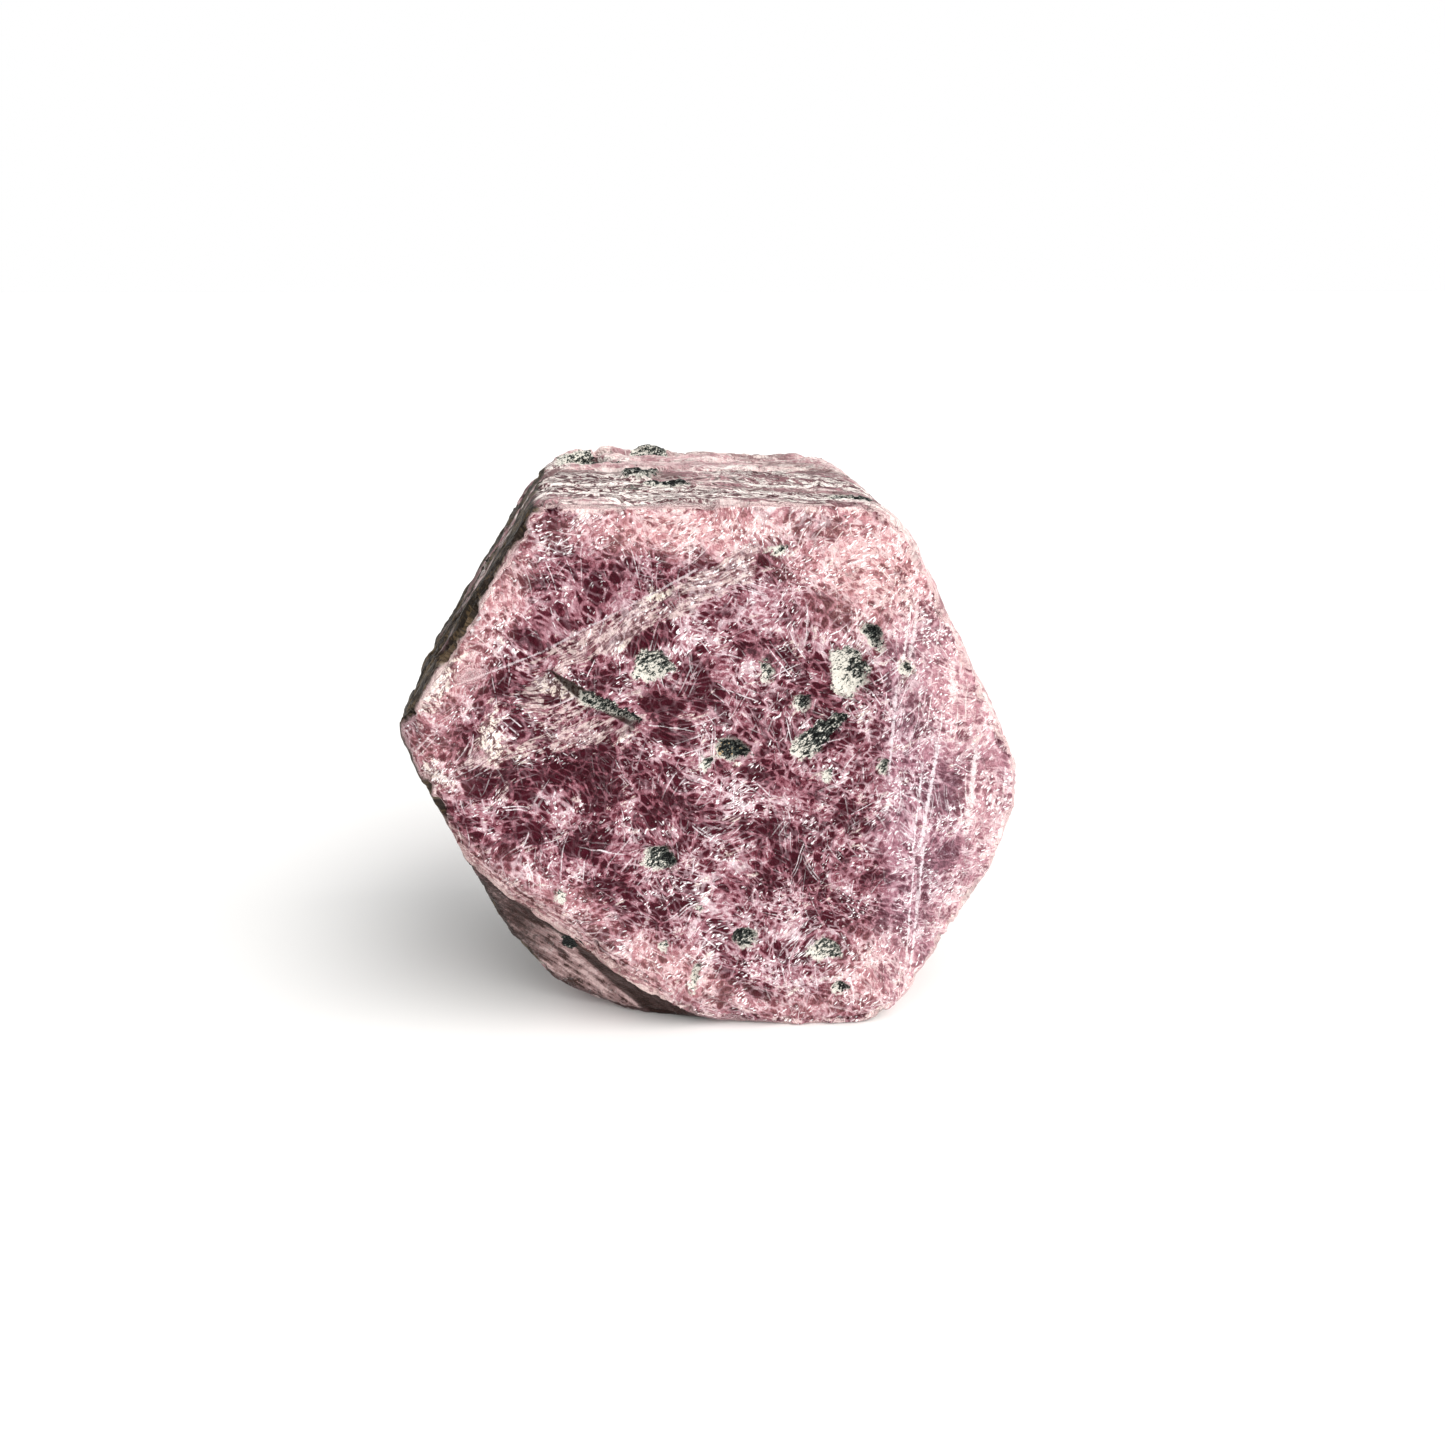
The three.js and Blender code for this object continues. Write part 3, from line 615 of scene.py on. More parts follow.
def makeCrystal():
    piece = denseCopy(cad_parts["ruby_crystal"], "rubyCrystal", crystalShape["faceSize"])
    mesh = piece.data
    points = pointsOf(mesh)
    fields = surfaceFields(mesh, points)
    height = surfaceRelief(points, fields)
    offFoot = softStep(points[:, 2], 0.0, 0.5)  # the foot stays flat
    worn = crystalShape["rimWear"] * softStep(fields["wear"], 0.1, 0.6) * offFoot
    points += fields["facing"] * (height * offFoot)[:, None] + fields["inwards"] * worn[:, None]
    points[:, 2] = np.maximum(points[:, 2], 0)
    mesh.vertices.foreach_set("co", (points * mm).ravel())
    mesh.update()
    mesh.set_sharp_from_angle(angle=math.radians(crystalShape["sharpAngle"]))
    for name in keptFields:
        values = mesh.attributes.new(name, "FLOAT", "POINT")
        values.data.foreach_set("value", fields[name].astype(np.float32))
    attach(piece, "root")
    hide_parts("ruby_crystal")
    triangles = sum(len(p.vertices) - 2 for p in mesh.polygons)
    print("crystal made:", triangles, "triangles")
    return piece


# The finish of the crystal.
rubyLook = {
    # Colours are sRGB, from 0 to 255.
    "colours": {
        "darkest": (48, 1, 13),
        "clear": (78, 14, 32),
        "maroon": (112, 50, 63),
        "rose": (161, 108, 119),
        "blush": (206, 165, 173),
        "net": (202, 166, 178),
        "upright": (180, 136, 154),
        "fibre": (252, 242, 247),
        # painted glints
        "flake": (255, 250, 252),
        "peach": (254, 232, 226),
        "peachDeep": (228, 168, 166),
        "bandDark": (88, 64, 62),
        "bandGrey": (148, 121, 123),
        "bandCream": (220, 200, 195),
        "crust": (240, 228, 214),
        "growthDark": (70, 44, 46),
        "growthMauve": (158, 116, 122),
        "growthRose": (206, 164, 168),
        "growthCream": (250, 242, 236),
        "growthGrey": (120, 114, 106),
        # the left faces' stain, dark enough to be their painted shade as well
        "stainShadeDark": (26, 22, 13),
        "stainShadePale": (90, 74, 52),
        "shelf": (152, 124, 122),
        "shelfPale": (212, 184, 182),
        # the shelf's darkest mauve, and the painted shade in hollows
        "shelfDark": (60, 42, 36),
        "layerDark": (84, 54, 50),
        "layerMauve": (182, 138, 140),
        "layerPale": (238, 212, 206),
        # the brown of the broken corner's outer edge and left part, and the painted shadow under its wall
        "wallBrown": (44, 28, 24),
        "notchBrown": (44, 30, 21),
        "micaDark": (12, 15, 15),
        "micaGrey": (80, 85, 80),
        "micaPale": (222, 218, 208),
        "micaGold": (186, 152, 104),
    },
    # Colours that follow one another as the value behind them rises: the first one, then for each of the
    # others where it begins, where it is full, and its name.
    "shades": {
        "ruby": ("darkest", (-0.05, 0.3, "maroon"), (0.18, 0.6, "rose"), (0.55, 1.0, "blush")),
        "bands": ("bandDark", (0.4, 0.47, "bandGrey"), (0.5, 0.58, "bandCream")),
        "crust": ("bandDark", (0.42, 0.48, "bandGrey"), (0.49, 0.55, "crust")),
        "growth": ("growthMauve", (0.1, 0.8, "growthRose")),
        "growthCrust": ("growthDark", (0.41, 0.45, "growthMauve"), (0.47, 0.51, "growthCream")),
        "stainsAndShade": ("stainShadeDark", (0.45, 0.7, "stainShadePale")),
        "layers": ("layerDark", (0.36, 0.47, "layerMauve"), (0.5, 0.6, "layerPale")),
        "shelf": ("shelfDark", (0.34, 0.47, "shelf"), (0.5, 0.66, "shelfPale")),
        "mica": ("micaDark", (0.4, 0.45, "micaGrey")),
    },
    # The kinds of noise: how often they repeat in a millimetre, their detail and their roughness.
    "noise": {
        "bend": (0.16, 1.0, 0.5),
        "crimp": (1.3, 1.0, 0.5),
        "cloud": (0.45, 3.0, 0.64),
        "fine": (2.2, 3.0, 0.76),
        "regions": (0.4, 1.0, 0.5),
        "prismRegions": (0.13, 1.0, 0.5),
        "bands": (1.0, 2.0, 0.85),
        "strands": (1.0, 3.0, 0.6),
        "layers": (1.0, 2.0, 0.7),
        "shelf": (1.0, 2.0, 0.65),
        "rugged": (2.6, 2.0, 0.75),
        "mica": (1.0, 2.0, 0.95),
    },
    # How the patterns lie: turned by some degrees, then drawn out or together along and across.
    "grain": {
        "cells": (25, (0.8, 1.15, 1)),
        "flakes": (-40, (0.62, 1.4, 1)),
        "bands": (-25, (0.6, 3.2, 1)),
        "strands": (0, (0.15, 0.8, 1)),
        "shelf": (38, (0.3, 1.6, 1)),
        "mica": (35, (2.4, 3.0, 4.6)),
    },
    # How fully each finish covers what lies under it.
    "cover": {
        "bleached": 0.5,
        "upright": 0.35,
        "glassy": 0.7,
        "net": 0.28,
        "bands": 0.7,
        "crust": 0.85,
        "veil": 0.92,
        "prismGrey": 0.45,
        "prismLit": 0.4,
        "prismCrust": 0.95,
        "prismDark": 0.45,
        "prismFibres": 0.7,
        "stainsAndShade": 0.96,
        "layers": 0.65,
        "outerEdge": 0.85,
        "broken": 0.9,
        "shadowedAndBrowned": 0.9,
        "notch": 0.9,
        "worn": 0.55,
        "hollowShade": 0.45,
    },
    "gloss": {
        "specular": 0.1,
        "roughness": 0.3,
        "fibreRoughness": 0.25,  # on top of that
        "prismRoughness": 0.15,
        "bump": 0.3,  # depth of the finest relief
    },
}

# The web of pale fibres that covers the crystal.
rubyWeb = {
    "runs": [  # long fibres: which two ways they run, how many show, and the field that gathers the first
        {"turns": (26, -14), "kept": 0.38, "gathers": "band"},
        {"turns": (-52, 56), "kept": 0.41},
        {"turns": (84, -80), "kept": 0.37, "gathers": "upright"},
    ],
    "length": 6.5,  # of the stretched cell that holds a fibre; the fibre is about two thirds of it
    "width": 0.19,
    "bend": 2.4,  # how far the fibres stray from straight
    "crimp": 0.3,  # and the cells from even
    "shortSizes": (0.45, 0.95),
    "shortKept": 0.32,
    "shortWidth": 0.038,
    "cellSizes": (1.35, 0.62),
    "wall": 0.11,  # between two cells
    # size of the cells that hold the painted glints
    "flake": 0.11,
    "milk": {"level": 0.365, "cloud": 1.22, "pale": 0.34, "window": 0.36, "fine": 0.4},
    "spread": 0.7,  # how much the web keeps to the milky places
    "stretch": (0.7, 1.1),  # on the prism faces: along the growth lines, and across them
    "middle": 18.8,  # height of the axis that the pattern runs round there, and its distance from it
    "radius": 19.0,
    "sideShift": (0, 90, 0),  # the prism faces and the back get stretches of pattern of their own
    "backShift": 60.0,
}


def fromSrgb(colour):
    linear = [c / 255 / 12.92 if c <= 10 else ((c / 255 + 0.055) / 1.055) ** 2.4 for c in colour]
    return (*linear, 1.0)


rubyPaint = {name: fromSrgb(colour) for name, colour in rubyLook["colours"].items()}


# What comes out of a node. Sums and products of it are written as with numbers.
class Wire:
    def __init__(self, socket):
        self.socket = socket
        self.tree = socket.id_data

    def __add__(self, other):
        return calculate("ADD", self, other)

    def __radd__(self, other):
        return calculate("ADD", other, self)

    def __sub__(self, other):
        return calculate("SUBTRACT", self, other)

    def __rsub__(self, other):
        return calculate("SUBTRACT", other, self)

    def __mul__(self, other):
        return calculate("MULTIPLY", self, other)

    def __abs__(self):
        return calculate("ABSOLUTE", self)


# One of the outputs of a new node, by number or name. The feeds are what goes into its inputs.
def addNode(tree, kind, settings=None, feeds=None, result=0):
    node = tree.nodes.new(kind)
    for name, value in (settings or {}).items():
        setattr(node, name, value)
    for name, value in (feeds or {}).items():
        if isinstance(value, Wire):
            tree.links.new(value.socket, node.inputs[name])
        else:
            node.inputs[name].default_value = value
    return Wire(node.outputs[result])


def field(tree, name):
    return addNode(tree, "ShaderNodeAttribute", {"attribute_name": name}, result="Fac")


def calculate(operation, a, b=0.0, clamp=False):
    tree = a.tree if isinstance(a, Wire) else b.tree
    return addNode(tree, "ShaderNodeMath", {"operation": operation, "use_clamp": clamp}, {0: a, 1: b})


def larger(a, b):
    return calculate("MAXIMUM", a, b)


# 0 below low and 1 above high, softly; low above high turns it round.
def window(value, low, high):
    turned = low > high
    feeds = {"Value": value, "From Min": min(low, high), "From Max": max(low, high)}
    feeds |= {"To Min": 1.0 if turned else 0.0, "To Max": 0.0 if turned else 1.0}
    return addNode(value.tree, "ShaderNodeMapRange", {"interpolation_type": "SMOOTHSTEP"}, feeds)


# One colour over another. A colour may go by its name.
def blend(amount, under, over):
    under, over = (rubyPaint[c] if isinstance(c, str) else c for c in (under, over))
    return addNode(amount.tree, "ShaderNodeMix", {"data_type": "RGBA"}, {0: amount, 6: under, 7: over}, 2)


# The colours of one of the ruby's shades, as a value rises.
def shades(value, name):
    colour, *later = rubyLook["shades"][name]
    for low, high, following in later:
        colour = blend(window(value, low, high), colour, following)
    return colour


# The three parts of a colour or of a place.
def partsOf(value, kind):
    parts = addNode(value.tree, kind, None, {0: value}).socket.node.outputs
    return [Wire(part) for part in parts]


def split(colour):
    return partsOf(colour, "ShaderNodeSeparateColor")


def axesOf(place):
    return partsOf(place, "ShaderNodeSeparateXYZ")


def flatPlace(x, y):
    return addNode(x.tree, "ShaderNodeCombineXYZ", None, {0: x, 1: y})


def movePlace(operation, a, b, slot=1, result=0):
    return addNode(a.tree, "ShaderNodeVectorMath", {"operation": operation}, {0: a, slot: b}, result)


def scaled(place, scale):
    return movePlace("SCALE", place, scale, "Scale")


def turned(place, angle, axis="Z_AXIS"):
    feeds = {"Vector": place, "Angle": angle}
    return addNode(place.tree, "ShaderNodeVectorRotate", {"rotation_type": axis}, feeds)


# A place laid along one of the ways in which the patterns lie.
def alongGrain(place, name, axis="Z_AXIS"):
    turn, stretch = rubyLook["grain"][name]
    laid = turned(place, math.radians(turn), axis) if turn else place
    return movePlace("MULTIPLY", laid, stretch)


# The same place, moved by the three parts of a noise.
def strayed(place, drift, reach):
    centred = movePlace("SUBTRACT", drift, (0.5, 0.5, 0.5))
    return movePlace("ADD", place, scaled(centred, reach))


# Noise of one of the kinds, which may go by its name.
def noiseAt(place, kind, flat=True, result=0):
    scale, detail, roughness = rubyLook["noise"][kind] if isinstance(kind, str) else kind
    settings = {"noise_dimensions": "2D" if flat else "3D"}
    feeds = {"Vector": place, "Scale": scale, "Detail": detail, "Roughness": roughness}
    return addNode(place.tree, "ShaderNodeTexNoise", settings, feeds, result)


# Cells in the plane: the distance to the middle of the nearest, its colour and its place.
def flatCells(place, scale, feature="F1"):
    settings = {"voronoi_dimensions": "2D", "feature": feature}
    cells = addNode(place.tree, "ShaderNodeTexVoronoi", settings, {"Vector": place, "Scale": scale})
    return [Wire(cells.socket.node.outputs[name]) for name in ("Distance", "Color", "Position")]


# Long straight fibres: stretched cells, each with a thin lens at its middle. They run the first of their
# two ways where first is above a half, and the second way elsewhere.
def longFibres(place, run, first, luckier):
    ways = [math.radians(-turn) for turn in run["turns"]]
    chosen = calculate("GREATER_THAN", first, 0.5)
    lengthwise = turned(place, ways[1] + chosen * (ways[0] - ways[1]))
    squeezed = movePlace("MULTIPLY", lengthwise, (1 / rubyWeb["length"], 1 / rubyWeb["width"], 1))
    own = run["turns"][0]  # so that no two runs are alike
    distance, colour, _ = flatCells(movePlace("ADD", squeezed, (own * 0.37, own * 0.83, 0)), 1.0)
    lens = window(distance, 0.32, 0.12)
    chance = split(colour)
    shown = window(chance[0] + luckier, 1 - run["kept"], 1.3 - run["kept"])
    brightness = 0.2 + chance[1] * chance[1] * 0.8
    certain = window(abs(first - 0.5), 0.0, 0.3)
    return lens * shown * (brightness * certain)


# Short fibres that lie every way: one through the middle of each cell, turned by chance.
def shortFibres(place, size, luckier):
    shifted = movePlace("ADD", place, (size * 31, size * 77, 0))
    _, colour, middle = flatCells(shifted, 1 / size)
    chance = split(colour)
    own = movePlace("SUBTRACT", shifted, middle)
    along, across, _ = axesOf(turned(own, chance[0] * (2 * math.pi)))
    width, kept = rubyWeb["shortWidth"], rubyWeb["shortKept"]
    thin = window(abs(across), width, width * 0.3)
    tapered = window(abs(along), size * 0.75, size * 0.2)
    shown = window(chance[1] + luckier, 1 - kept, 1.3 - kept)
    return thin * tapered * (shown * (0.25 + chance[2] * 0.75))


# A net of thin walls round cells, how far inside its cell a point is, and the cell's own luck.
def cellNet(place, size):
    shifted = movePlace("ADD", place, (size * 23, size * 51, 0))
    nearest, colour, _ = flatCells(shifted, 1 / size)
    second, _, _ = flatCells(shifted, 1 / size, "F2")
    edge = (second - nearest) * (size * 0.62)
    wall = rubyWeb["wall"]
    return window(edge, wall, wall * 0.15), window(edge, wall * 0.3, wall * 1.6), split(colour)


# The shadow under a straight wall: none at its head, and wider towards its tip.
def wallShade(place, wall):
    head, tip = Vector((*wall["head"], 0)), Vector((*wall["tip"], 0))
    length = (tip - head).length
    way = (tip - head) / length
    own = movePlace("SUBTRACT", place, head)
    along = movePlace("DOT_PRODUCT", own, way, result="Value")
    below = movePlace("DOT_PRODUCT", own, Vector((way.y, -way.x, 0)), result="Value")
    reach = window(along, -0.8, length * 0.4) * wall["shade"]
    under = window(below - reach, 0.1, -0.04)
    ends = window(along, -0.1, 0.3) * window(along, length, length * 0.9)
    return under * window(below, -0.12, 0.0) * ends


# Where a point lies in the flat pattern: across and up the front and back faces, and on the
# prism faces round the crystal and across the growth lines, where the pattern is drawn out.
def patternPlace(solid, fields):
    x, y, z = axesOf(solid)
    bend, stretch = crystalShape["growthBend"], rubyWeb["stretch"]
    face = flatPlace(x + fields["back"] * rubyWeb["backShift"], z)
    held = calculate("MINIMUM", larger(x, bend["from"]), bend["to"])
    across = y + calculate("POWER", held + bend["shift"], 2.0) * bend["by"]
    along = calculate("ARCTAN2", x, z - rubyWeb["middle"]) * rubyWeb["radius"]
    side = flatPlace(along * stretch[0], across * stretch[1])
    side = movePlace("ADD", side, rubyWeb["sideShift"])
    feeds = {"Factor": fields["basal"], 4: side, 5: face}
    return addNode(solid.tree, "ShaderNodeMix", {"data_type": "VECTOR"}, feeds, 1)


# What the front, the back and the prism faces share: clouds, cells, fibres and flakes.
def webPattern(flat, fields):
    bent = strayed(flat, noiseAt(flat, "bend", result="Color"), rubyWeb["bend"])
    crimp = noiseAt(bent, "crimp", result="Color")
    crimped = strayed(bent, crimp, rubyWeb["crimp"])
    broken = window(split(crimp)[2], 0.4, 0.56)
    cloud = noiseAt(flat, "cloud")
    fine = noiseAt(crimped, "fine")

    # Milkiness: from clear dark ruby at 0 to bleached and full of fibres at 1.
    share = rubyWeb["milk"]
    milk = share["level"] + (cloud - 0.5) * share["cloud"]
    milk = milk + (fields["bleached"] + fields["milky"]) * share["pale"]
    milk = milk - fields["window"] * share["window"]
    milk = calculate("ADD", milk, (fine - 0.5) * share["fine"], clamp=True)
    luckier = (milk - 0.5) * rubyWeb["spread"]

    # Cells with sharp outlines; by chance some of them are clear and dark.
    wide = alongGrain(crimped, "cells")
    net, clear = 0.0, 0.0
    for size in rubyWeb["cellSizes"]:
        walls, inside, luck = cellNet(wide, size)
        emptied = window(luck[0] + luckier, 0.58, 0.3) * inside
        clear = larger(clear, emptied * (0.4 + luck[1] * 0.6))
        net = larger(net, walls * (0.4 + broken * 0.6))
    pale = net * broken * (window(milk, 0.25, 0.75) * 0.55)

    # Long fibres: each run lies one way in some regions and another way in the others.
    fibres = 0.0
    regions = split(noiseAt(flat, "regions", result="Color"))
    for region, run in zip(regions, rubyWeb["runs"]):
        first = window(region, 0.46, 0.54)
        luck = luckier * 0.6
        if "gathers" in run:
            gathered = fields[run["gathers"]]
            first = larger(first, gathered)
            luck = luck + gathered * 0.3
        fibres = larger(fibres, longFibres(bent, run, first, luck))
    pale = larger(pale, fibres * window(fine, 0.34, 0.5))
    clustered = luckier * 1.4 + (regions[1] - 0.5) * 1.2
    for size in rubyWeb["shortSizes"]:
        pale = larger(pale, shortFibres(bent, size, clustered))

    # Fluff and flakes: fine grain where it is milky, and tiny angular cells that are bright by chance,
    # which are painted glints.
    fluff = window(fine + luckier * 0.5, 0.57, 0.64) * 0.42
    _, colour, _ = flatCells(alongGrain(crimped, "flakes"), 1 / rubyWeb["flake"])
    chance = split(colour)
    flake = window(chance[0] + clustered * 0.24, 0.92, 0.98)

    # The straight marks, with ragged sides and gaps.
    ragged = (0.5 - fine) * 3.0
    marks = 0.0
    for name in ("mark", "twin"):
        away = abs(fields[name + "Side"]) + ragged
        marks = larger(marks, window(away, 1.0, 0.2) * fields[name + "Shown"])
    marks = marks * window(fine + chance[1] * 0.2, 0.38, 0.56)
    return {
        "bent": bent,
        "cloud": cloud,
        "fine": fine,
        "milk": milk,
        "net": net,
        "clear": clear,
        "pale": larger(larger(pale, fluff), marks),
        "flake": flake,
        "chance": chance,
    }


# The large front and back faces: dark glassy places under a web of pale fibres.
def basalFinish(web, fields):
    fine, cloud, milk, chance = (web[name] for name in ("fine", "cloud", "milk", "chance"))
    cover, bleached = rubyLook["cover"], fields["bleached"]
    tone = milk + (fine - 0.5) * 0.8 + (chance[2] - 0.5) * 0.2 + web["net"] * 0.16 - web["clear"] * 0.42
    ruby = shades(tone, "ruby")
    ruby = blend(bleached * cover["bleached"], ruby, "peachDeep")
    ruby = blend(fields["upright"] * cover["upright"], ruby, "upright")
    glassy = web["clear"] * window(fine, 0.62, 0.4)
    ruby = blend(glassy * cover["glassy"], ruby, "clear")
    veiled = web["net"] * window(milk, -0.3, 0.5)
    ruby = blend(veiled * cover["net"], ruby, "net")

    # The healed bands: fine grey and cream ridges.
    grain = noiseAt(alongGrain(web["bent"], "bands"), "bands") + (fine - 0.5) * 0.5
    uneven = (cloud - 0.5) * 2.6 + (grain - 0.5) * 2.0
    banded = window(fields["band"] + uneven, 0.45, 0.85)
    ruby = blend(banded * cover["bands"], ruby, shades(grain, "bands"))

    # A rough cream crust in places.
    crust = window(fields["crust"] + uneven * 0.6, 0.3, 0.7)
    crumbs = shades(fine + (chance[1] - 0.5) * 0.12, "crust")
    ruby = blend(crust * cover["crust"], ruby, crumbs)

    tint = blend(bleached, "fibre", "peach")
    veil = web["pale"] * (cover["veil"] - banded * 0.5)
    # The flakes on top are painted glints.
    return blend(web["flake"], blend(veil, ruby, tint), "flake")


# The prism faces: mauve, with thin dark lines painted as the shadows of steps along the growth lines,
# painted light on the steps' edges, and a cream crust in patches.
def prismFinish(flat, web, fields):
    fine, cloud, milk, chance = (web[name] for name in ("fine", "cloud", "milk", "chance"))
    cover, bleached = rubyLook["cover"], fields["bleached"]
    strand = noiseAt(alongGrain(web["bent"], "strands"), "strands")
    region = noiseAt(flat, "prismRegions")
    uneven = (cloud - 0.5) * 1.5 + (fine - 0.5) * 1.2
    greyed = window(region + uneven * 0.2, 0.44, 0.34)
    colour = blend(greyed * cover["prismGrey"], shades(milk, "growth"), "growthGrey")
    # Painted light along the steps' edges.
    lit = window(strand + uneven * 0.3, 0.5, 0.62)
    colour = blend(lit * cover["prismLit"], colour, "growthCream")

    # The crust: cream crumbs with dark gaps between them.
    patchy = (region - 0.5) * 2.5 + fields["crust"] - bleached * 0.6
    crusted = window(patchy + uneven * 0.6, -0.1, 0.4)
    crumbs = fine + (strand - 0.5) * 0.5 + (chance[2] - 0.5) * 0.12
    colour = blend(crusted * cover["prismCrust"], colour, shades(crumbs, "growthCrust"))

    # Dark blotches, partly the faces' own mauve brown and partly painted shade beside the growth steps, and
    # the steps' painted shadows: thin lines at two heights of the drawn out noise, broken here and there.
    plain = 1.0 - bleached * 0.5
    blotchAndStepShade = window(cloud + (strand - 0.5) * 0.8, 0.5, 0.34)
    colour = blend(blotchAndStepShade * plain * cover["prismDark"], colour, "growthDark")
    for level, shown in ((0.49, 0.95), (0.57, 0.8)):
        line = window(abs(strand - level), 0.034, 0.008) * window(cloud + fine, 0.8, 1.0) * plain
        colour = blend(line * shown, colour, "growthDark")
    colour = blend(web["pale"] * cover["prismFibres"], colour, "growthCream")

    # The left faces: a dark olive stain that also stands in for their painted shade.
    stain = blend(web["pale"] * 0.3, shades(crumbs, "stainsAndShade"), "stainShadePale")
    stainedAndShaded = window(fields["stainedAndShaded"] + uneven * 0.6, 0.1, 0.75)
    return blend(stainedAndShaded * cover["stainsAndShade"], colour, stain)


# The broken corner: thin layers along its wall, then smooth grey mauve, with a painted shadow under the
# wall and brown towards its left.
def brokenFinish(colour, flat, web, fields):
    fine, cloud, cover = web["fine"], web["cloud"], rubyLook["cover"]
    layerAt = flatPlace(fields["layerDepth"] * 2.4 + cloud * 1.2, cloud)
    layer = noiseAt(layerAt, "layers") + (fine - 0.5) * 0.35
    colour = blend(fields["layered"] * cover["layers"], colour, shades(layer, "layers"))
    mottled = noiseAt(alongGrain(flat, "shelf"), "shelf") + (fine - 0.5) * 0.5
    outerEdge = window(fields["wear"] + (fine - 0.5), 0.1, 0.5)
    shelf = blend(outerEdge * cover["outerEdge"], shades(mottled, "shelf"), "wallBrown")
    colour = blend(fields["broken"] * cover["broken"], colour, shelf)
    # Painted shadow under the wall, and brown towards the corner's left.
    shadowedAndBrowned = window(fields["wallShadowAndBrown"] + (fine - 0.5), 0.2, 0.7)
    return blend(shadowedAndBrowned * cover["shadowedAndBrowned"], colour, "wallBrown")


# Worn edges are pale, partly from wear and partly as a painted highlight on the rims; hollows are dark with
# painted shade.
def wornLitRimsAndShadedHollows(colour, web, fields):
    wear, cover = fields["wear"], rubyLook["cover"]
    covered = larger(fields["stainedAndShaded"], fields["broken"])
    worn = window(wear, 0.3, 1.0) * (1.0 - covered) * window(web["cloud"] + web["fine"], 0.9, 1.15)
    colour = blend(worn * cover["worn"], colour, "peach")
    return blend(window(wear, -0.3, -1.0) * cover["hollowShade"], colour, "shelfDark")


# Mica grains: black flakes and white flakes, in a broken white rim.
def micaFinish(colour, solid, rugged, fields):
    gap = fields["grainGap"] + (rugged - 0.5) * 0.7
    flake = noiseAt(alongGrain(solid, "mica", "Y_AXIS"), "mica", flat=False)
    flakes = flake + (fields["grainPale"] - 0.5) * 0.24
    white = blend(fields["grainGold"], "micaPale", "micaGold")
    mica = blend(window(flakes, 0.5, 0.55), shades(flakes, "mica"), white)
    rim = window(abs(gap), 0.2, 0.04) * (window(flake, 0.4, 0.5) * fields["grainRim"])
    colour = blend(window(gap, 0.06, -0.02), colour, mica)
    return blend(rim, colour, "micaPale")


def rubyMaterial(look):
    material = bpy.data.materials.new("roughRuby")
    material.use_nodes = True
    tree = material.node_tree
    shader = tree.nodes["Principled BSDF"]
    fields = {name: field(tree, name) for name in keptFields}
    basal = fields["basal"]
    solid = scaled(addNode(tree, "ShaderNodeTexCoord", result="Object"), 1 / mm)
    flat = patternPlace(solid, fields)
    web = webPattern(flat, fields)
    rugged = noiseAt(solid, "rugged", flat=False)
    colour = blend(basal, prismFinish(flat, web, fields), basalFinish(web, fields))
    colour = brokenFinish(colour, flat, web, fields)
    shade = wallShade(flat, notchWall) * basal
    colour = blend(shade * look["cover"]["notch"], colour, "notchBrown")
    colour = wornLitRimsAndShadedHollows(colour, web, fields)
    colour = micaFinish(colour, solid, rugged, fields)
    gloss = look["gloss"]
    rough = gloss["roughness"] + web["pale"] * gloss["fibreRoughness"]
    rough = rough + (1.0 - basal) * gloss["prismRoughness"]
    relief = {"Height": rugged, "Distance": gloss["bump"] * mm, "Strength": 1.0}
    tree.links.new(colour.socket, shader.inputs["Base Color"])
    tree.links.new(rough.socket, shader.inputs["Roughness"])
    tree.links.new(addNode(tree, "ShaderNodeBump", None, relief).socket, shader.inputs["Normal"])
    shader.inputs["Specular IOR Level"].default_value = gloss["specular"]
    print("finish made:", len(tree.nodes), "nodes")
    return material


crystal = makeCrystal()
crystal.data.materials.append(rubyMaterial(rubyLook))


floorLook = {
    "side": 8.0,
    "cuts": 8,
    "colour": (246, 246, 245),
    "paler": 3,  # by how much its palest spots differ from that
    "noise": (40.0, 3.0, 0.5),  # how often it repeats in a metre, its detail and its roughness
    "roughness": 0.7,
}


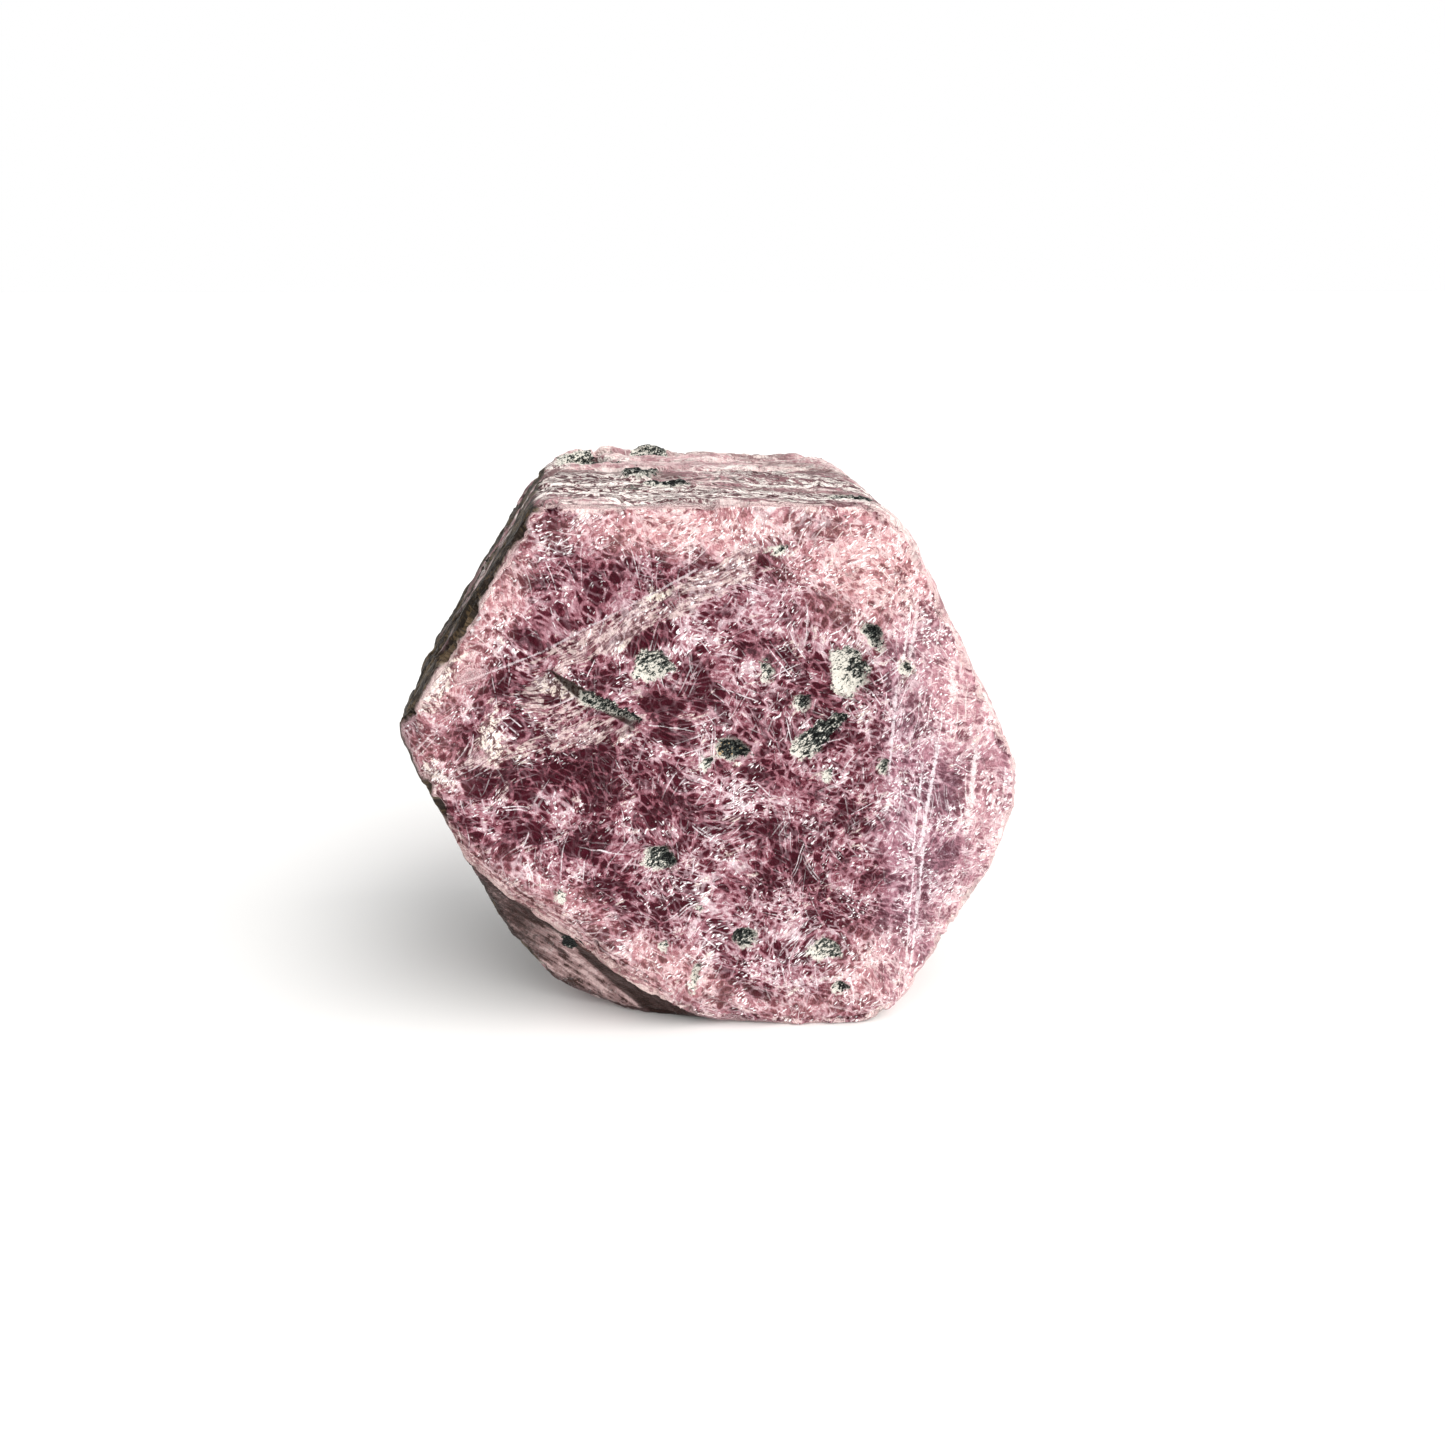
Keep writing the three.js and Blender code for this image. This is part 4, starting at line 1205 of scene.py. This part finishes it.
def makeFloor(look):
    steps = look["cuts"] + 1
    line = np.linspace(-look["side"] / 2, look["side"] / 2, steps)
    corners = [(x, y, 0.0) for y in line for x in line]
    squares = [
        (r * steps + c, r * steps + c + 1, (r + 1) * steps + c + 1, (r + 1) * steps + c)
        for r in range(look["cuts"])
        for c in range(look["cuts"])
    ]
    mesh = bpy.data.meshes.new("paleFloor")
    mesh.from_pydata(corners, [], squares)
    floor = bpy.data.objects.new("paleFloor", mesh)
    bpy.context.scene.collection.objects.link(floor)
    material = bpy.data.materials.new("paleFloor")
    material.use_nodes = True
    tree = material.node_tree
    shader = tree.nodes["Principled BSDF"]
    grain = noiseAt(addNode(tree, "ShaderNodeTexCoord", result="Object"), look["noise"])
    paler = [min(255, c + look["paler"]) for c in look["colour"]]
    colour = blend(grain, fromSrgb(look["colour"]), fromSrgb(paler))
    tree.links.new(colour.socket, shader.inputs["Base Color"])
    shader.inputs["Roughness"].default_value = look["roughness"]
    mesh.materials.append(material)
    print("floor made")


keyLight = {"from": (0.62, -0.56, 0.72), "strength": 3.1, "spread": 70.0, "colour": (1.0, 0.975, 0.955)}
skyLight = {"fill": 0.72, "shown": 1.0}  # what the sky gives the crystal, and what the camera sees of it


def makeLights(key, sky):
    lamp = bpy.data.lights.new("key", "SUN")
    lamp.energy = key["strength"]
    lamp.angle = math.radians(key["spread"])
    lamp.color = key["colour"]
    light = bpy.data.objects.new("key", lamp)
    light.rotation_mode = "QUATERNION"
    light.rotation_quaternion = Vector(key["from"]).to_track_quat("Z", "Y")
    bpy.context.scene.collection.objects.link(light)
    world = bpy.data.worlds.new("paleRoom")
    world.use_nodes = True
    tree = world.node_tree
    seen = addNode(tree, "ShaderNodeLightPath", result="Is Camera Ray")
    strength = sky["fill"] + seen * (sky["shown"] - sky["fill"])
    background = tree.nodes["Background"]
    background.inputs["Color"].default_value = (1.0, 1.0, 1.0, 1.0)
    tree.links.new(strength.socket, background.inputs["Strength"])
    bpy.context.scene.world = world
    print("lights made")


cameraPlace = {
    "at": (-6.44, -103.0, 50.43),
    "down": 17.2,
    "turn": -4.4,
    "lens": 36.12,
    "sensor": 36.0,
    "sight": (0.005, 20.0),  # the nearest and the farthest that it sees, in metres
}


def makeCamera(place):
    data = bpy.data.cameras.new("camera")
    data.lens = place["lens"]
    data.sensor_width = place["sensor"]
    data.clip_start, data.clip_end = place["sight"]
    camera = bpy.data.objects.new("camera", data)
    camera.location = Vector(place["at"]) * mm
    camera.rotation_euler = (math.radians(90 - place["down"]), 0.0, math.radians(place["turn"]))
    bpy.context.scene.collection.objects.link(camera)
    bpy.context.scene.camera = camera
    print("camera made")


makeFloor(floorLook)
makeLights(keyLight, skyLight)
makeCamera(cameraPlace)
bpy.context.scene.view_settings.view_transform = "Standard"

# Bring the placements up to date.
bpy.context.view_layer.update()
